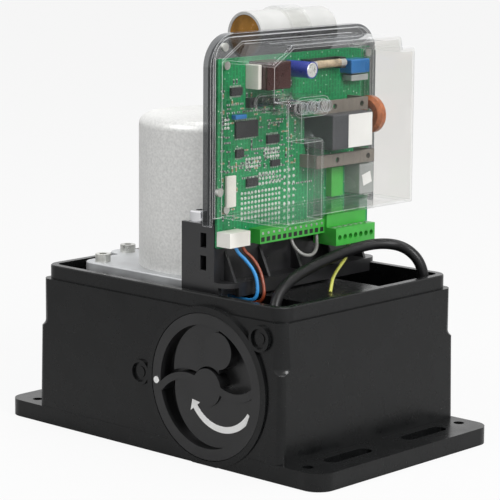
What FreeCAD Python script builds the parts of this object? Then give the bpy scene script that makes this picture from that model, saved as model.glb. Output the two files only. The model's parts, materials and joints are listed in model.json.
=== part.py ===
"""Sliding gate motor: cast foot with a worm drive, upright motor, release knob and control board.

Millimetres. X runs along the front face, Y from the release knob (front) to the gate (back), Z up.
The origin is the centre of the underside of the foot.
"""
import FreeCAD, Part
import math
import os
import re
import Sketcher

V = FreeCAD.Vector

# ---------------------------------------------------------------- driving dimensions
SIZES = {
    # cast housing
    "foot_length": 275, "foot_depth": 167, "foot_thickness": 11, "foot_corner": 12,
    "case_length": 214.4, "case_height": 96, "case_draft": 1.02, "case_corner": 5,
    "upper_corner": 10, "step_height": 69, "step_flare": 5,
    "rim_height": 9, "rim_inset": 1.75, "wall": 5, "floor": 4, "seat_height": 98, "inner_corner": 5,
    "slot_spacing": 73, "slot_length": 40, "slot_width": 10, "slot_inset": 18.5,
    "level_inset": 10.5, "level_bore": 6.8, "collar_rise": 0.9, "collar_width": 4,
    "cable_bore": 30, "cable_x": 80, "cable_y": 50,
    "chamber_front": -38, "chamber_back": 24, "worm_low_seat": 13.5,
    "mark_radius": 8, "mark_rise": 0.8, "mark_distance": 57,
    # output line
    "output_x": 45, "output_height": 48.8, "shaft_radius": 10, "shaft_front": -43.5, "shaft_back": 107,
    "rod_bore": 4.1, "running_gap": 0.05, "loose_gap": 0.3,
    "bearing_outer": 21, "bearing_width": 12, "front_bearing_y": -37,
    "rear_bearing_y": 58, "seal_y": 72, "seal_width": 7,
    "wheel_width": 16, "wheel_module": 2.75, "wheel_teeth": 30, "hub_radius": 24, "hub_length": 24,
    "pinion_module": 4, "pinion_teeth": 16, "pinion_width": 20, "pinion_y": 85.5,
    "key_width": 6, "key_depth": 3, "washer_radius": 14, "washer_thickness": 2,
    # worm and motor
    "motor_x": -17, "motor_y": -8, "worm_radius": 20.75, "worm_length": 46, "worm_root": 16.8,
    "plate_left": -84, "plate_right": 36, "plate_front": -66, "plate_back": 46, "lug_radius": 11,
    "screw_hole": 3.3, "worm_shaft_radius": 8.5, "rotor_shaft_radius": 7.5, "motor_bearing_outer": 16, "motor_bearing_width": 9,
    "plate_thickness": 10, "motor_radius": 51, "motor_wall": 3.5, "motor_height": 97, "motor_round": 7,
    "stator_inner": 27, "stator_height": 46, "stator_base": 134, "stator_slots": 12, "air_gap": 0.6, "winding_size": 11.6,
    # manual release
    "knob_radius": 45.4, "knob_gap": 0.4, "knob_depth": 12, "knob_face": 83.9, "knob_rim": 7,
    "grip_depth": 9, "cup_depth": 13.4, "cup_wall": 4, "hub_bore_radius": 16, "knob_hub_end": -52,
    "release_travel": 5, "release_turn": 140, "slider_outer": 21, "slider_front": -66, "slider_back": -49,
    "guide_distance": 27, "guide_radius": 2, "follower_radius": 1.5, "follower_y": -62,
    "clutch_front": 4.4, "clutch_length": 10, "lug_height": 3, "pin_radius": 2.5, "pin_reach": 18,
    # board carrier
    "board_face": 41.8, "board_thickness": 1.6, "board_half": 71, "board_low": 131.8, "board_high": 247.2,
    "tray_back": 35.5, "tray_half": 77, "tray_low": 146, "tray_high": 262, "tray_corner": 20, "tray_wall": 2,
    "bracket_front": -71, "bracket_left": 12, "bracket_right": 52, "bracket_wall": 3, "skirt": 5.5,
    "bolt_radius": 3, "bolt_length": 12, "bolt_head": 6.5, "head_radius": 5, "screw_head": 2.6,
    # clear cover
    "cover_wall": 1.8, "cover_left": -69, "cover_right": 64, "cover_low": 151, "cover_high": 257,
    "cover_face": 86, "bay_face": 97.5, "bay_right": -35, "bay_step": -54, "bay_mid": 202, "bay_top": 226,
    "cover_slope": 17, "button_pitch": 10.4, "button_y": -33, "button_z": 219.3, "button_radius": 3.5,
    "button_travel": 1.2, "tunnel_wall": 1.5,
    # run capacitor
    "can_radius": 15, "can_length": 72, "can_x": 18, "can_y": -22, "can_z": 257.5,
    # leads
    "cable_radius": 3.5, "lead_radius": 1.1,
}

# ---------------------------------------------------------------- parts on the board
# name: across, up, width, height and depth off the board
COMPONENT_WORDS = ("across", "up", "width", "tall", "deep")
COMPONENTS = {
    "relay": (-33.0, 236, 21, 17, 16), "fuse_holder": (22, 239, 36, 7, 7), "varistor": (50.5, 236, 18, 9, 10),
    "heat_sink": (26, 213, 52, 8, 15), "lower_sink": (31, 179, 56, 8, 15), "transformer": (27, 198, 38, 22, 24),
    "toroid": (57.5, 205, 8, 24, 14), "small_relay": (54.5, 164, 14, 20, 13),
    "header": (-12, 137, 60, 9, 9), "plug": (37, 135, 38, 20, 19), "motor_plug": (-62, 138, 18, 9, 11),
}

doc = FreeCAD.newDocument("SlidingGateMotor")
sheet = doc.addObject("Spreadsheet::Sheet", "Sizes")


ENTRIES = dict(SIZES)
for component_name, component_values in COMPONENTS.items():
    for word, value in zip(COMPONENT_WORDS, component_values):
        ENTRIES[f"{component_name}_{word}"] = value
for row, (alias, value) in enumerate(ENTRIES.items(), 1):
    sheet.set(f"A{row}", alias)
    sheet.set(f"B{row}", str(value))
    sheet.setAlias(f"B{row}", alias)
doc.recompute()


def formula(text):
    """The same text with every size name turned into a reference to its cell."""
    return re.sub(r"[a-z]\w*", lambda word: "Sizes." + word[0] if word[0] in ENTRIES else word[0], str(text))


def size(text):
    return float(sheet.evalExpression(formula(text)))


def bind(thing, prop, text):
    thing.setExpression(prop, formula(text))


# places that several pieces share
RIM_TOP = "(case_height + rim_height)"
INNER_X = "(case_length / 2 - 3.45 - wall)"
INNER_Y = "(foot_depth / 2 - 3.45 - wall)"
WHEEL_RADIUS = "(wheel_module * wheel_teeth / 2)"
TOOTH_PITCH = "(wheel_module * 3.14159265)"
PLATE_TOP = "(seat_height + plate_thickness)"
CASE_TOP = "(seat_height + plate_thickness + motor_height)"
CUP_BACK = "(cup_depth - knob_face)"
WORM_TOP = "(output_height + worm_length / 2)"
BEARING_GAP = "(shaft_radius + running_gap)"

NODES = []


# ---------------------------------------------------------------- building helpers
def new_body(name, kept=True):
    body = doc.addObject("PartDesign::Body", name)
    body.Label = name
    if kept:
        NODES.append(body)
    return body


def sketch_on(body, role, offset):
    plane = next(item for item in body.Origin.OriginFeatures if item.Role == role)
    sketch = body.newObject("Sketcher::SketchObject", body.Name + "_sketch")
    sketch.AttachmentSupport = [(plane, "")]
    sketch.MapMode = "FlatFace"
    bind(sketch, "AttachmentOffset.Base.z", offset)
    return sketch


def pin_point(sketch, edge, end, point):
    """Hold one point of a sketch edge at two formulas measured from the sketch's origin."""
    for kind, text in zip(("DistanceX", "DistanceY"), point):
        index = sketch.addConstraint(Sketcher.Constraint(kind, -1, 1, edge, end, size(text)))
        bind(sketch, f"Constraints[{index}]", text)


def draw_polygon(sketch, points):
    first = sketch.GeometryCount
    corners = [V(size(a), size(b), 0) for a, b in points]
    count = len(corners)
    for i in range(count):
        sketch.addGeometry(Part.LineSegment(corners[i], corners[(i + 1) % count]))
    for i in range(count):
        sketch.addConstraint(Sketcher.Constraint("Coincident", first + i, 2, first + (i + 1) % count, 1))
        pin_point(sketch, first + i, 1, points[i])


def draw_rectangle(sketch, left, right, low, high):
    draw_polygon(sketch, [(left, low), (right, low), (right, high), (left, high)])


def draw_circle(sketch, across, up, radius):
    edge = sketch.GeometryCount
    sketch.addGeometry(Part.Circle(V(size(across), size(up), 0), V(0, 0, 1), size(radius)))
    pin_point(sketch, edge, 3, (across, up))
    index = sketch.addConstraint(Sketcher.Constraint("Radius", edge, size(radius)))
    bind(sketch, f"Constraints[{index}]", radius)


def draw_slot(sketch, across, low, high, radius):
    """An upright slot between two arc centres."""
    x, y0, y1, r = size(across), size(low), size(high), size(radius)
    first = sketch.GeometryCount
    sketch.addGeometry(Part.ArcOfCircle(Part.Circle(V(x, y1, 0), V(0, 0, 1), r), 0, math.pi))
    sketch.addGeometry(Part.LineSegment(V(x - r, y1, 0), V(x - r, y0, 0)))
    sketch.addGeometry(Part.ArcOfCircle(Part.Circle(V(x, y0, 0), V(0, 0, 1), r), math.pi, 2 * math.pi))
    sketch.addGeometry(Part.LineSegment(V(x + r, y0, 0), V(x + r, y1, 0)))
    for i in range(4):
        sketch.addConstraint(Sketcher.Constraint("Tangent", first + i, 2, first + (i + 1) % 4, 1))
    sketch.addConstraint(Sketcher.Constraint("Vertical", first + 1))
    pin_point(sketch, first, 3, (across, high))
    index = sketch.addConstraint(Sketcher.Constraint("DistanceY", -1, 1, first + 2, 3, y0))
    bind(sketch, f"Constraints[{index}]", low)
    index = sketch.addConstraint(Sketcher.Constraint("Radius", first, r))
    bind(sketch, f"Constraints[{index}]", radius)


def draw_rounded(sketch, left, right, low, high, radius, square_foot=False):
    """A rectangle with rounded corners; a square foot keeps the two lower ones sharp."""
    lower = "0" if square_foot else f"({radius})"
    bend = size(radius) * (1 - math.sqrt(0.5))
    points = [(left + f" + {lower}", low), (right + f" - {lower}", low), (right, f"{low} + {lower}"),
              (right, f"{high} - ({radius})"), (f"{right} - ({radius})", high), (f"{left} + {radius}", high),
              (left, f"{high} - ({radius})"), (left, f"{low} + {lower}")]
    corners = [V(size(a), size(b), 0) for a, b in points]
    x0, x1, y0, y1 = size(left) + bend, size(right) - bend, size(low) + bend, size(high) - bend
    middles = {1: V(x1, y0, 0), 3: V(x1, y1, 0), 5: V(x0, y1, 0), 7: V(x0, y0, 0)}
    kept = [i for i in range(8) if not (square_foot and i in (1, 7))]
    first = sketch.GeometryCount
    for i in kept:
        a, b = corners[i], corners[(i + 1) % 8]
        sketch.addGeometry(Part.Arc(a, middles[i], b) if i in middles else Part.LineSegment(a, b))
    for place_in_loop, i in enumerate(kept):
        edge, following = first + place_in_loop, first + (place_in_loop + 1) % len(kept)
        sketch.addConstraint(Sketcher.Constraint("Coincident", edge, 2, following, 1))
        if i in middles:
            index = sketch.addConstraint(Sketcher.Constraint("Radius", edge, size(radius)))
            bind(sketch, f"Constraints[{index}]", radius)
        else:
            pin_point(sketch, edge, 1, points[i])
            if (i + 1) % 8 in kept and (i + 1) % 8 in middles:
                pin_point(sketch, edge, 2, points[(i + 1) % 8])


def draw_arch(sketch, left, right, low, high, radius):
    draw_rounded(sketch, left, right, low, high, radius, square_foot=True)


DRAW = {"arch": draw_arch, "rounded": draw_rounded, "rectangle": draw_rectangle, "circle": draw_circle, "slot": draw_slot}
ROLE = {"x": "YZ_Plane", "y": "XZ_Plane", "z": "XY_Plane"}


def extrude(kind, body, axis, low, high, shapes):
    """Pad or pocket between two heights along an axis of the body."""
    near_end = (kind == "Pad") != (axis == "y")
    offset = low if near_end else high
    if axis == "y":
        offset = f"-({offset})"
    sketch = sketch_on(body, ROLE[axis], offset)
    for shape in shapes:
        if isinstance(shape, list):
            draw_polygon(sketch, shape)
        else:
            DRAW[shape[0]](sketch, *shape[1:])
    feature = body.newObject("PartDesign::" + kind, f"{body.Name}_{kind.lower()}")
    feature.Profile = sketch
    bind(feature, "Length", f"({high}) - ({low})")
    return feature


def pad(body, axis, low, high, *shapes):
    return extrude("Pad", body, axis, low, high, shapes)


def pocket(body, axis, low, high, *shapes):
    return extrude("Pocket", body, axis, low, high, shapes)


def dress_edges(body, kind, amount, wanted):
    """Fillet or chamfer the edges of the body's tip that the test picks."""
    doc.recompute()
    base = body.Tip
    names = [f"Edge{i}" for i, edge in enumerate(base.Shape.Edges, 1) if wanted(edge)]
    feature = body.newObject("PartDesign::" + kind, f"{body.Name}_{kind.lower()}")
    feature.Base = (base, names)
    bind(feature, "Radius" if kind == "Fillet" else "Size", amount)
    return feature


def is_upright(edge, axis="z"):
    """A straight edge that runs along the axis."""
    run = edge.Vertexes[-1].Point - edge.Vertexes[0].Point
    straight = abs(run.Length - edge.Length) < 0.001
    return straight and abs(getattr(run, axis)) > 0.99 * run.Length


def turn_about(body, outline, role="XZ_Plane"):
    """Revolve an outline of (radius, height) points about the body's own Z axis."""
    sketch = sketch_on(body, role, "0")
    draw_polygon(sketch, outline)
    feature = body.newObject("PartDesign::Revolution", body.Name + "_turn")
    feature.Profile = sketch
    feature.ReferenceAxis = (sketch, ["V_Axis"])
    feature.Angle = 360
    return feature


ALONG_BACK = FreeCAD.Rotation(V(1, 0, 0), -90)
ALONG_FRONT = FreeCAD.Rotation(V(1, 0, 0), 90)
ALONG_RIGHT = FreeCAD.Rotation(V(0, 1, 0), 90)


def place(thing, x, y, z, rotation=None):
    if rotation:
        thing.Placement = FreeCAD.Placement(V(0, 0, 0), rotation)
    for axis, text in (("x", x), ("y", y), ("z", z)):
        bind(thing, "Placement.Base." + axis, text)


def turned(name, outline, x, y, z, rotation=None, kept=True):
    body = new_body(name, kept)
    turn_about(body, outline)
    place(body, x, y, z, rotation)
    return body


def bead(radius, half_width, half_height):
    """Eight-sided section of a ring, centred on the radius."""
    corners = []
    for turn in range(8):
        wide, tall = (1, 0.45) if turn in (0, 3, 4, 7) else (0.45, 1)
        side, level = (1 if turn in (0, 1, 6, 7) else -1), (1 if turn < 4 else -1)
        corners.append((f"{radius} + {side * wide} * ({half_width})", f"{level * tall} * ({half_height})"))
    return corners


def ring(inner, outer, low, high):
    return [(inner, low), (outer, low), (outer, high), (inner, high)]


def primitive(kind, name, sizes, x, y, z, rotation=None):
    thing = doc.addObject("Part::" + kind, name)
    for prop, text in sizes.items():
        bind(thing, prop, text)
    place(thing, x, y, z, rotation)
    return thing


def block(name, x0, x1, y0, y1, z0, z1):
    sides = {"Length": f"({x1}) - ({x0})", "Width": f"({y1}) - ({y0})", "Height": f"({z1}) - ({z0})"}
    return primitive("Box", name, sides, x0, y0, z0)


def rod(name, radius, length, x, y, z, rotation=None):
    return primitive("Cylinder", name, {"Radius": radius, "Height": length}, x, y, z, rotation)


def node(thing, label):
    """Give a finished piece its own name and keep it for export."""
    thing.Label = label
    NODES.append(thing)
    return thing


def combine(kind, name, pieces):
    thing = doc.addObject("Part::" + kind, name)
    if kind == "Cut":
        thing.Base, thing.Tool = pieces
    elif kind == "Compound":
        thing.Links = pieces
    else:
        thing.Shapes = pieces
    return thing


def shaped(name, shape, x="0", y="0", z="0", rotation=None):
    """A piece whose surface no standard feature makes."""
    thing = doc.addObject("Part::Feature", name)
    thing.Shape = shape
    place(thing, x, y, z, rotation)
    return node(thing, name)


# ---------------------------------------------------------------- cast housing
def base_housing():
    body = new_body("base_housing")
    half_length, half_depth = "foot_length / 2", "foot_depth / 2"
    pad(body, "z", "0", "case_height",
               ("rounded", "-case_length / 2", "case_length / 2", f"-{half_depth}", half_depth, "case_corner"))
    lean_walls(body, "case_draft")
    for side_x in (-1, 1):
        for side_y in (-1, 1):
            bowl_cut(body, side_x, side_y)
    # rim that the hood sits over
    rim_x = f"(case_length / 2 - {RIM_SHRINK})"
    rim_y = f"(foot_depth / 2 - {RIM_SHRINK})"
    pad(body, "z", "case_height - 1", RIM_TOP,
        ("rounded", f"-{rim_x}", rim_x, f"-{rim_y}", rim_y, "upper_corner"))
    dress_edges(body, "Chamfer", "0.6", lambda edge: edge.BoundBox.ZMin > size(RIM_TOP) - 0.1)
    pad(body, "z", "0", "foot_thickness",
        ("rounded", f"-{half_length}", half_length, f"-{half_depth}", half_depth, "foot_corner"))
    inside(body)
    front_face(body)
    feet(body)
    return body


RIM_SHRINK = "(tan(case_draft) * case_height + rim_inset)"


def lean_walls(body, angle):
    """Draft every upright face of the body's tip about the underside."""
    doc.recompute()
    base = body.Tip
    names = [f"Face{i}" for i, face in enumerate(base.Shape.Faces, 1) if face.BoundBox.ZLength > 1]
    draft = body.newObject("PartDesign::Draft", body.Name + "_draft")
    draft.Base = (base, names)
    plane = next(item for item in body.Origin.OriginFeatures if item.Role == "XY_Plane")
    draft.NeutralPlane = (plane, [""])
    bind(draft, "Angle", angle)
    draft.Reversed = False
    return draft


def bowl_cut(body, side_x, side_y):
    """Groove a quarter turn round the corner's own axis: a wider corner that ends in a bowl."""
    lean = "tan(case_draft) * step_height * 0.8"
    axis_x = f"(case_length / 2 - {lean} - upper_corner) * {side_x}"
    axis_y = f"(foot_depth / 2 - {lean} - upper_corner) * {side_y}"
    sketch = sketch_on(body, "XZ_Plane", f"-({axis_y})")
    near, far = f"{axis_x} + upper_corner * {side_x}", f"{axis_x} + (upper_corner + step_flare) * {side_x}"
    top, step, low = "case_height + 1", "step_height", "step_height - step_flare"
    points = [(near, step), (near, top), (far, top), (far, low)]
    corners = [V(size(a), size(b), 0) for a, b in points]
    for i in range(3):
        sketch.addGeometry(Part.LineSegment(corners[i], corners[i + 1]))
    bend = size("step_flare") * math.sqrt(0.5)
    middle = V(size(far) - side_x * bend, size(step) - bend, 0)
    sketch.addGeometry(Part.Arc(corners[3], middle, corners[0]))
    arc_start, arc_end = (1, 2) if side_x < 0 else (2, 1)
    for first, end, second, start in ((0, 2, 1, 1), (1, 2, 2, 1), (2, 2, 3, arc_start), (3, arc_end, 0, 1)):
        sketch.addConstraint(Sketcher.Constraint("Coincident", first, end, second, start))
    for i in range(3):
        pin_point(sketch, i, 1, points[i])
    pin_point(sketch, 2, 2, points[3])
    axis = sketch.addGeometry(Part.LineSegment(V(size(axis_x), size(step), 0), V(size(axis_x), size(top), 0)), True)
    pin_point(sketch, axis, 1, (axis_x, step))
    pin_point(sketch, axis, 2, (axis_x, top))
    groove = body.newObject("PartDesign::Groove", "corner_groove")
    groove.Profile = sketch
    groove.ReferenceAxis = (sketch, ["Axis0"])
    groove.Angle = 90
    groove.Reversed = side_x * side_y < 0
    return groove


CHAMBER = ("motor_x - 27", "output_x + 46", "chamber_front", "chamber_back")
LEFT_BAY = (f"-{INNER_X}", "motor_x - 27 - wall", f"-{INNER_Y}", INNER_Y)
REAR_BAY = ("motor_x - 27", INNER_X, "chamber_back + wall", INNER_Y)
CLUTCH_BAY = ("output_x - 49", "output_x + 49", f"{CUP_BACK} + cup_wall", "chamber_front - wall")
FRONT_BAY = ("motor_x - 27", "output_x - 54", f"-{INNER_Y}", "chamber_front - wall")


def inside(body):
    """Gear chamber, side bays and the tube that carries the output shaft."""
    seat, floor = "seat_height", "floor"
    pocket(body, "z", seat, RIM_TOP,
           ("rounded", f"-{INNER_X}", INNER_X, f"-{INNER_Y}", INNER_Y, "inner_corner"))
    for bay in (CHAMBER, LEFT_BAY, REAR_BAY, CLUTCH_BAY, FRONT_BAY):
        pocket(body, "z", floor, seat, ("rounded", *bay, "inner_corner"))
    pad(body, "y", CHAMBER[3], "foot_depth / 2 - 3", ("circle", "output_x", "output_height", "bearing_outer + 4"))
    pad(body, "y", CHAMBER[2], "front_bearing_y + bearing_width",
        ("circle", "output_x", "output_height", "bearing_outer + 4"))
    pocket(body, "y", CLUTCH_BAY[3], "foot_depth / 2 + 1",
           ("circle", "output_x", "output_height", "shaft_radius + 2"))
    pocket(body, "y", "front_bearing_y", "front_bearing_y + bearing_width + 1",
           ("circle", "output_x", "output_height", "bearing_outer"))
    pocket(body, "y", "rear_bearing_y", "foot_depth / 2 + 1",
           ("circle", "output_x", "output_height", "bearing_outer"))
    pad(body, "z", floor, "worm_low_seat", ("circle", "motor_x", "motor_y", "motor_bearing_outer + 4"))
    pocket(body, "z", floor, "worm_low_seat + 1", ("circle", "motor_x", "motor_y", "motor_bearing_outer"))
    pocket(body, "z", "-1", "floor + 1", ("circle", "cable_x", "cable_y", "cable_bore / 2"))


def front_face(body):
    """Cup for the release knob, its collar and the two marks that the knob's dot points at."""
    face = "-foot_depth / 2"
    pad(body, "y", f"{face} + 0.2 - collar_rise", f"{face} + wall",
        ("circle", "output_x", "output_height", "knob_radius + knob_gap + collar_width"))
    for angle in ("180", "180 - release_turn"):
        across = f"output_x + mark_distance * cos({angle})"
        up = f"output_height + mark_distance * sin({angle})"
        pad(body, "y", f"{face} + 0.2 - collar_rise", f"{face} + wall", ("circle", across, up, "mark_radius"))
        pocket(body, "y", f"{face} - 3", f"{face} + 1.1", ("circle", across, up, "mark_radius - 1.8"))
        pad(body, "y", f"{face} + 0.6", f"{face} + wall", ("circle", across, up, "mark_radius - 4.5"))
    pocket(body, "z", "-5", "0", ("rectangle", "-case_length / 2", "case_length / 2", f"{face} - 3", f"{face} + 20"))
    pocket(body, "y", f"{face} - 3", CUP_BACK, ("circle", "output_x", "output_height", "knob_radius + knob_gap"))
    pocket(body, "y", f"{CUP_BACK} - 1", f"{CUP_BACK} + cup_wall + 1",
           ("circle", "output_x", "output_height", "hub_bore_radius + running_gap"))
    pocket(body, "y", f"{CUP_BACK} + cup_wall - 1", "chamber_front - wall + 1",
           *[("circle", f"output_x + {side} * guide_distance", "output_height", "guide_radius")
             for side in ("-1", "1")])


def feet(body):
    """Two long slots and two tapped levelling holes in each end of the foot."""
    for side in ("-1", "1"):
        across = f"{side} * (foot_length / 2 - slot_inset)"
        half = "(slot_length - slot_width) / 2"
        slots = [("slot", across, f"{end} * slot_spacing / 2 - {half}", f"{end} * slot_spacing / 2 + {half}",
                  "slot_width / 2") for end in ("-1", "1")]
        pocket(body, "z", "-1", "foot_thickness + 1", *slots)
        holes = [("circle", across, f"{end} * (foot_depth / 2 - level_inset)", "level_bore / 2")
                 for end in ("-1", "1")]
        pocket(body, "z", "-1", "foot_thickness + 1", *holes)


# ---------------------------------------------------------------- motor
def motor_flange():
    """Aluminium plate that closes the gear chamber's worm end and carries the motor."""
    body = new_body("motor_flange")
    pad(body, "z", "seat_height", PLATE_TOP, ("rectangle", "plate_left", "plate_right", "plate_front", "plate_back"))
    dress_edges(body, "Fillet", "8", lambda edge: is_upright(edge))
    pad(body, "z", "seat_height", PLATE_TOP, ("circle", *LUG_SCREW, "lug_radius"))
    pocket(body, "z", "seat_height - 1", f"{PLATE_TOP} + 1", ("circle", *LUG_SCREW, "screw_hole"))
    pocket(body, "z", "seat_height - 1", f"{PLATE_TOP} + 1",
           *[("circle", x, y, "screw_hole") for x, y in FLANGE_SCREWS])
    pad(body, "z", f"{WORM_TOP} + 6", "seat_height", ("circle", "motor_x", "motor_y", "motor_bearing_outer + 4"))
    pocket(body, "z", f"{WORM_TOP} + 5", f"{WORM_TOP} + 6 + motor_bearing_width",
           ("circle", "motor_x", "motor_y", "motor_bearing_outer"))
    pocket(body, "z", f"{WORM_TOP} + 5", f"{PLATE_TOP} + 1", ("circle", "motor_x", "motor_y", "worm_shaft_radius + 1"))
    dress_edges(body, "Fillet", "1", lambda edge: edge.BoundBox.ZMin > size(PLATE_TOP) - 0.01
                and edge.Length > 60)
    return body


LUG_SCREW = ("plate_left - 2", "motor_y - 14")
FLANGE_SCREWS = [("plate_left + 12", "plate_front + 8"), ("plate_left + 12", "plate_back - 10"),
                 ("plate_right - 8", "plate_back - 10")]


def flange_screws():
    """Socket screws through the plate into the casting."""
    screws = []
    for index, (x, y) in enumerate([*FLANGE_SCREWS, LUG_SCREW]):
        head = rod(f"flange_head_{index}", "head_radius", "5", x, y, PLATE_TOP)
        stem = rod(f"flange_stem_{index}", "screw_hole - 0.15", "plate_thickness + 1", x, y, "seat_height + 0.05")
        socket = rod(f"flange_socket_{index}", "2.4", "3", x, y, f"{PLATE_TOP} + 3")
        whole = combine("MultiFuse", f"flange_screw_{index}", [head, stem])
        screws.append(combine("Cut", f"flange_socket_screw_{index}", [whole, socket]))
    node(combine("Compound", "flange_screws", screws), "flange_screws")


def motor():
    body = new_body("motor_case")
    inner = "motor_radius - motor_wall"
    turn_about(body, [("motor_radius", "0"), ("motor_radius", "motor_height"), ("5", "motor_height"),
                      ("5", "motor_height - motor_wall"), (inner, "motor_height - motor_wall"), (inner, "0")])
    dress_edges(body, "Fillet", "motor_round",
                lambda edge: edge.BoundBox.ZMin > size("motor_height") - 0.1 and edge.Length > 100)
    top_seat = "motor_height - motor_wall - motor_bearing_width"
    pad(body, "z", top_seat, "motor_height - 1", ("circle", "0", "0", "motor_bearing_outer + 3"))
    pocket(body, "z", f"{top_seat} - 1", "motor_height - motor_wall", ("circle", "0", "0", "motor_bearing_outer"))
    pocket(body, "z", f"{top_seat} - 1", "motor_height + 1", ("circle", "0", "0", "5"))
    place(body, "motor_x", "motor_y", PLATE_TOP)


def stator():
    core = new_body("stator_core")
    outer = "motor_radius - motor_wall - 0.1"
    pad(core, "z", "0", "stator_height", ("circle", "0", "0", outer), ("circle", "0", "0", "stator_inner"))
    slot = pocket(core, "z", "-1", "stator_height + 1",
                  [("stator_inner - 2", "-1.2"), ("stator_inner + 3", "-1.2"), ("stator_inner + 4", "-3.4"),
                   ("stator_inner + 14", "-5"), ("stator_inner + 14", "5"), ("stator_inner + 4", "3.4"),
                   ("stator_inner + 3", "1.2"), ("stator_inner - 2", "1.2")])
    ring_pattern(core, slot, "stator_slots")
    place(core, "motor_x", "motor_y", "stator_base")
    section = bead("stator_inner + 10", "winding_size / 2", "winding_size / 2")
    turns = [turned("end_turn_" + label, section, "motor_x", "motor_y", height, kept=False)
             for label, height in (("lower", "stator_base - winding_size / 2"),
                                   ("upper", "stator_base + stator_height + winding_size / 2"))]
    node(combine("Compound", "stator_windings", turns), "stator_windings")


def ring_pattern(body, feature, count):
    """Repeat a feature of the body evenly round its Z axis."""
    doc.recompute()
    axis = next(item for item in body.Origin.OriginFeatures if item.Role == "Z_Axis")
    pattern = body.newObject("PartDesign::PolarPattern", body.Name + "_pattern")
    pattern.Originals = [feature]
    pattern.Axis = (axis, [""])
    pattern.Angle = 360
    bind(pattern, "Occurrences", count)
    body.Tip = pattern
    return pattern


def bearing(name, bore, outer, width, x, y, z, rotation=None):
    """Deep groove bearing, closed by its shields."""
    step = "1.2"
    outline = [(bore, "0"), (f"{bore} + 2.5", "0"), (f"{bore} + 2.8", step), (f"{outer} - 2.8", step),
               (f"{outer} - 2.5", "0"), (outer, "0"), (outer, width), (f"{outer} - 2.5", width),
               (f"{outer} - 2.8", f"{width} - {step}"), (f"{bore} + 2.8", f"{width} - {step}"),
               (f"{bore} + 2.5", width), (bore, width)]
    return turned(name, outline, x, y, z, rotation)


def rotor_line():
    """Rotor and worm: what the motor turns."""
    turned("rotor", ring("rotor_shaft_radius", "stator_inner - air_gap", "0", "stator_height"),
           "motor_x", "motor_y", "stator_base")
    shape = worm_thread()
    shaped("worm_shaft", shape, "motor_x", "motor_y", "0")
    bearing("worm_lower_bearing", "worm_shaft_radius - 1.5 + running_gap", "motor_bearing_outer",
            "motor_bearing_width", "motor_x", "motor_y", "floor + 0.5")
    bearing("worm_upper_bearing", "worm_shaft_radius + running_gap", "motor_bearing_outer",
            "motor_bearing_width", "motor_x", "motor_y", f"{WORM_TOP} + 6")
    bearing("rotor_top_bearing", "rotor_shaft_radius - 1 + running_gap", "motor_bearing_outer",
            "motor_bearing_width", "motor_x", "motor_y", f"{CASE_TOP} - motor_wall - motor_bearing_width")


def worm_thread():
    """Single-start right-hand worm: a trapezoid swept along a helix, fused to its stepped shaft."""
    pitch = size(TOOTH_PITCH)
    radius, root = size("worm_radius"), size("worm_root")
    length = size("worm_length")
    low = size("output_height") - length / 2
    # an even number of turns about the wheel's height puts a thread space opposite a tooth
    turns = 2 * math.floor(length / pitch / 2)
    start = size("output_height") - turns / 2 * pitch
    tip, half_tip, half_root = radius + size("wheel_module") * 0.8, pitch * 0.11, pitch * 0.30
    profile = Part.makePolygon([V(root - 1, 0, -half_root), V(tip, 0, -half_tip), V(tip, 0, half_tip),
                                V(root - 1, 0, half_root), V(root - 1, 0, -half_root)])
    helix = Part.makeHelix(pitch, turns * pitch, radius)
    sweep = Part.Wire(helix.Edges).makePipeShell([profile], True, True)
    sweep.translate(V(0, 0, start))
    steps = [(size("worm_shaft_radius") - 1.5, size("floor") + 1, size("worm_low_seat") + 0.5),
             (root, low, low + length),
             (size("worm_shaft_radius"), low + length, size(PLATE_TOP) + 8),
             (size("rotor_shaft_radius"), size(PLATE_TOP) + 8, size(CASE_TOP) - 16),
             (size("rotor_shaft_radius") - 1, size(CASE_TOP) - 16, size(CASE_TOP) - 5)]
    steps.insert(1, (size("worm_shaft_radius"), steps[0][2], low))
    shaft = sweep
    for step_radius, bottom, top in steps:
        shaft = shaft.fuse(Part.makeCylinder(step_radius, top - bottom, V(0, 0, bottom)))
    return shaft.removeSplitter()


# ---------------------------------------------------------------- output line
def toothed_ring(teeth, root, tip, tip_share, root_share, turn):
    """Closed wire of straight-flanked teeth, with a gap on the -X side, turned by an angle."""
    points = []
    for i in range(teeth):
        middle = math.pi + (i + 0.5) * 2 * math.pi / teeth + turn
        step = 2 * math.pi / teeth
        for share, radius in ((-root_share, root), (-tip_share, tip), (tip_share, tip), (root_share, root)):
            angle = middle + share * step
            points.append(V(radius * math.cos(angle), radius * math.sin(angle), 0))
    return Part.makePolygon(points + [points[0]])


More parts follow.
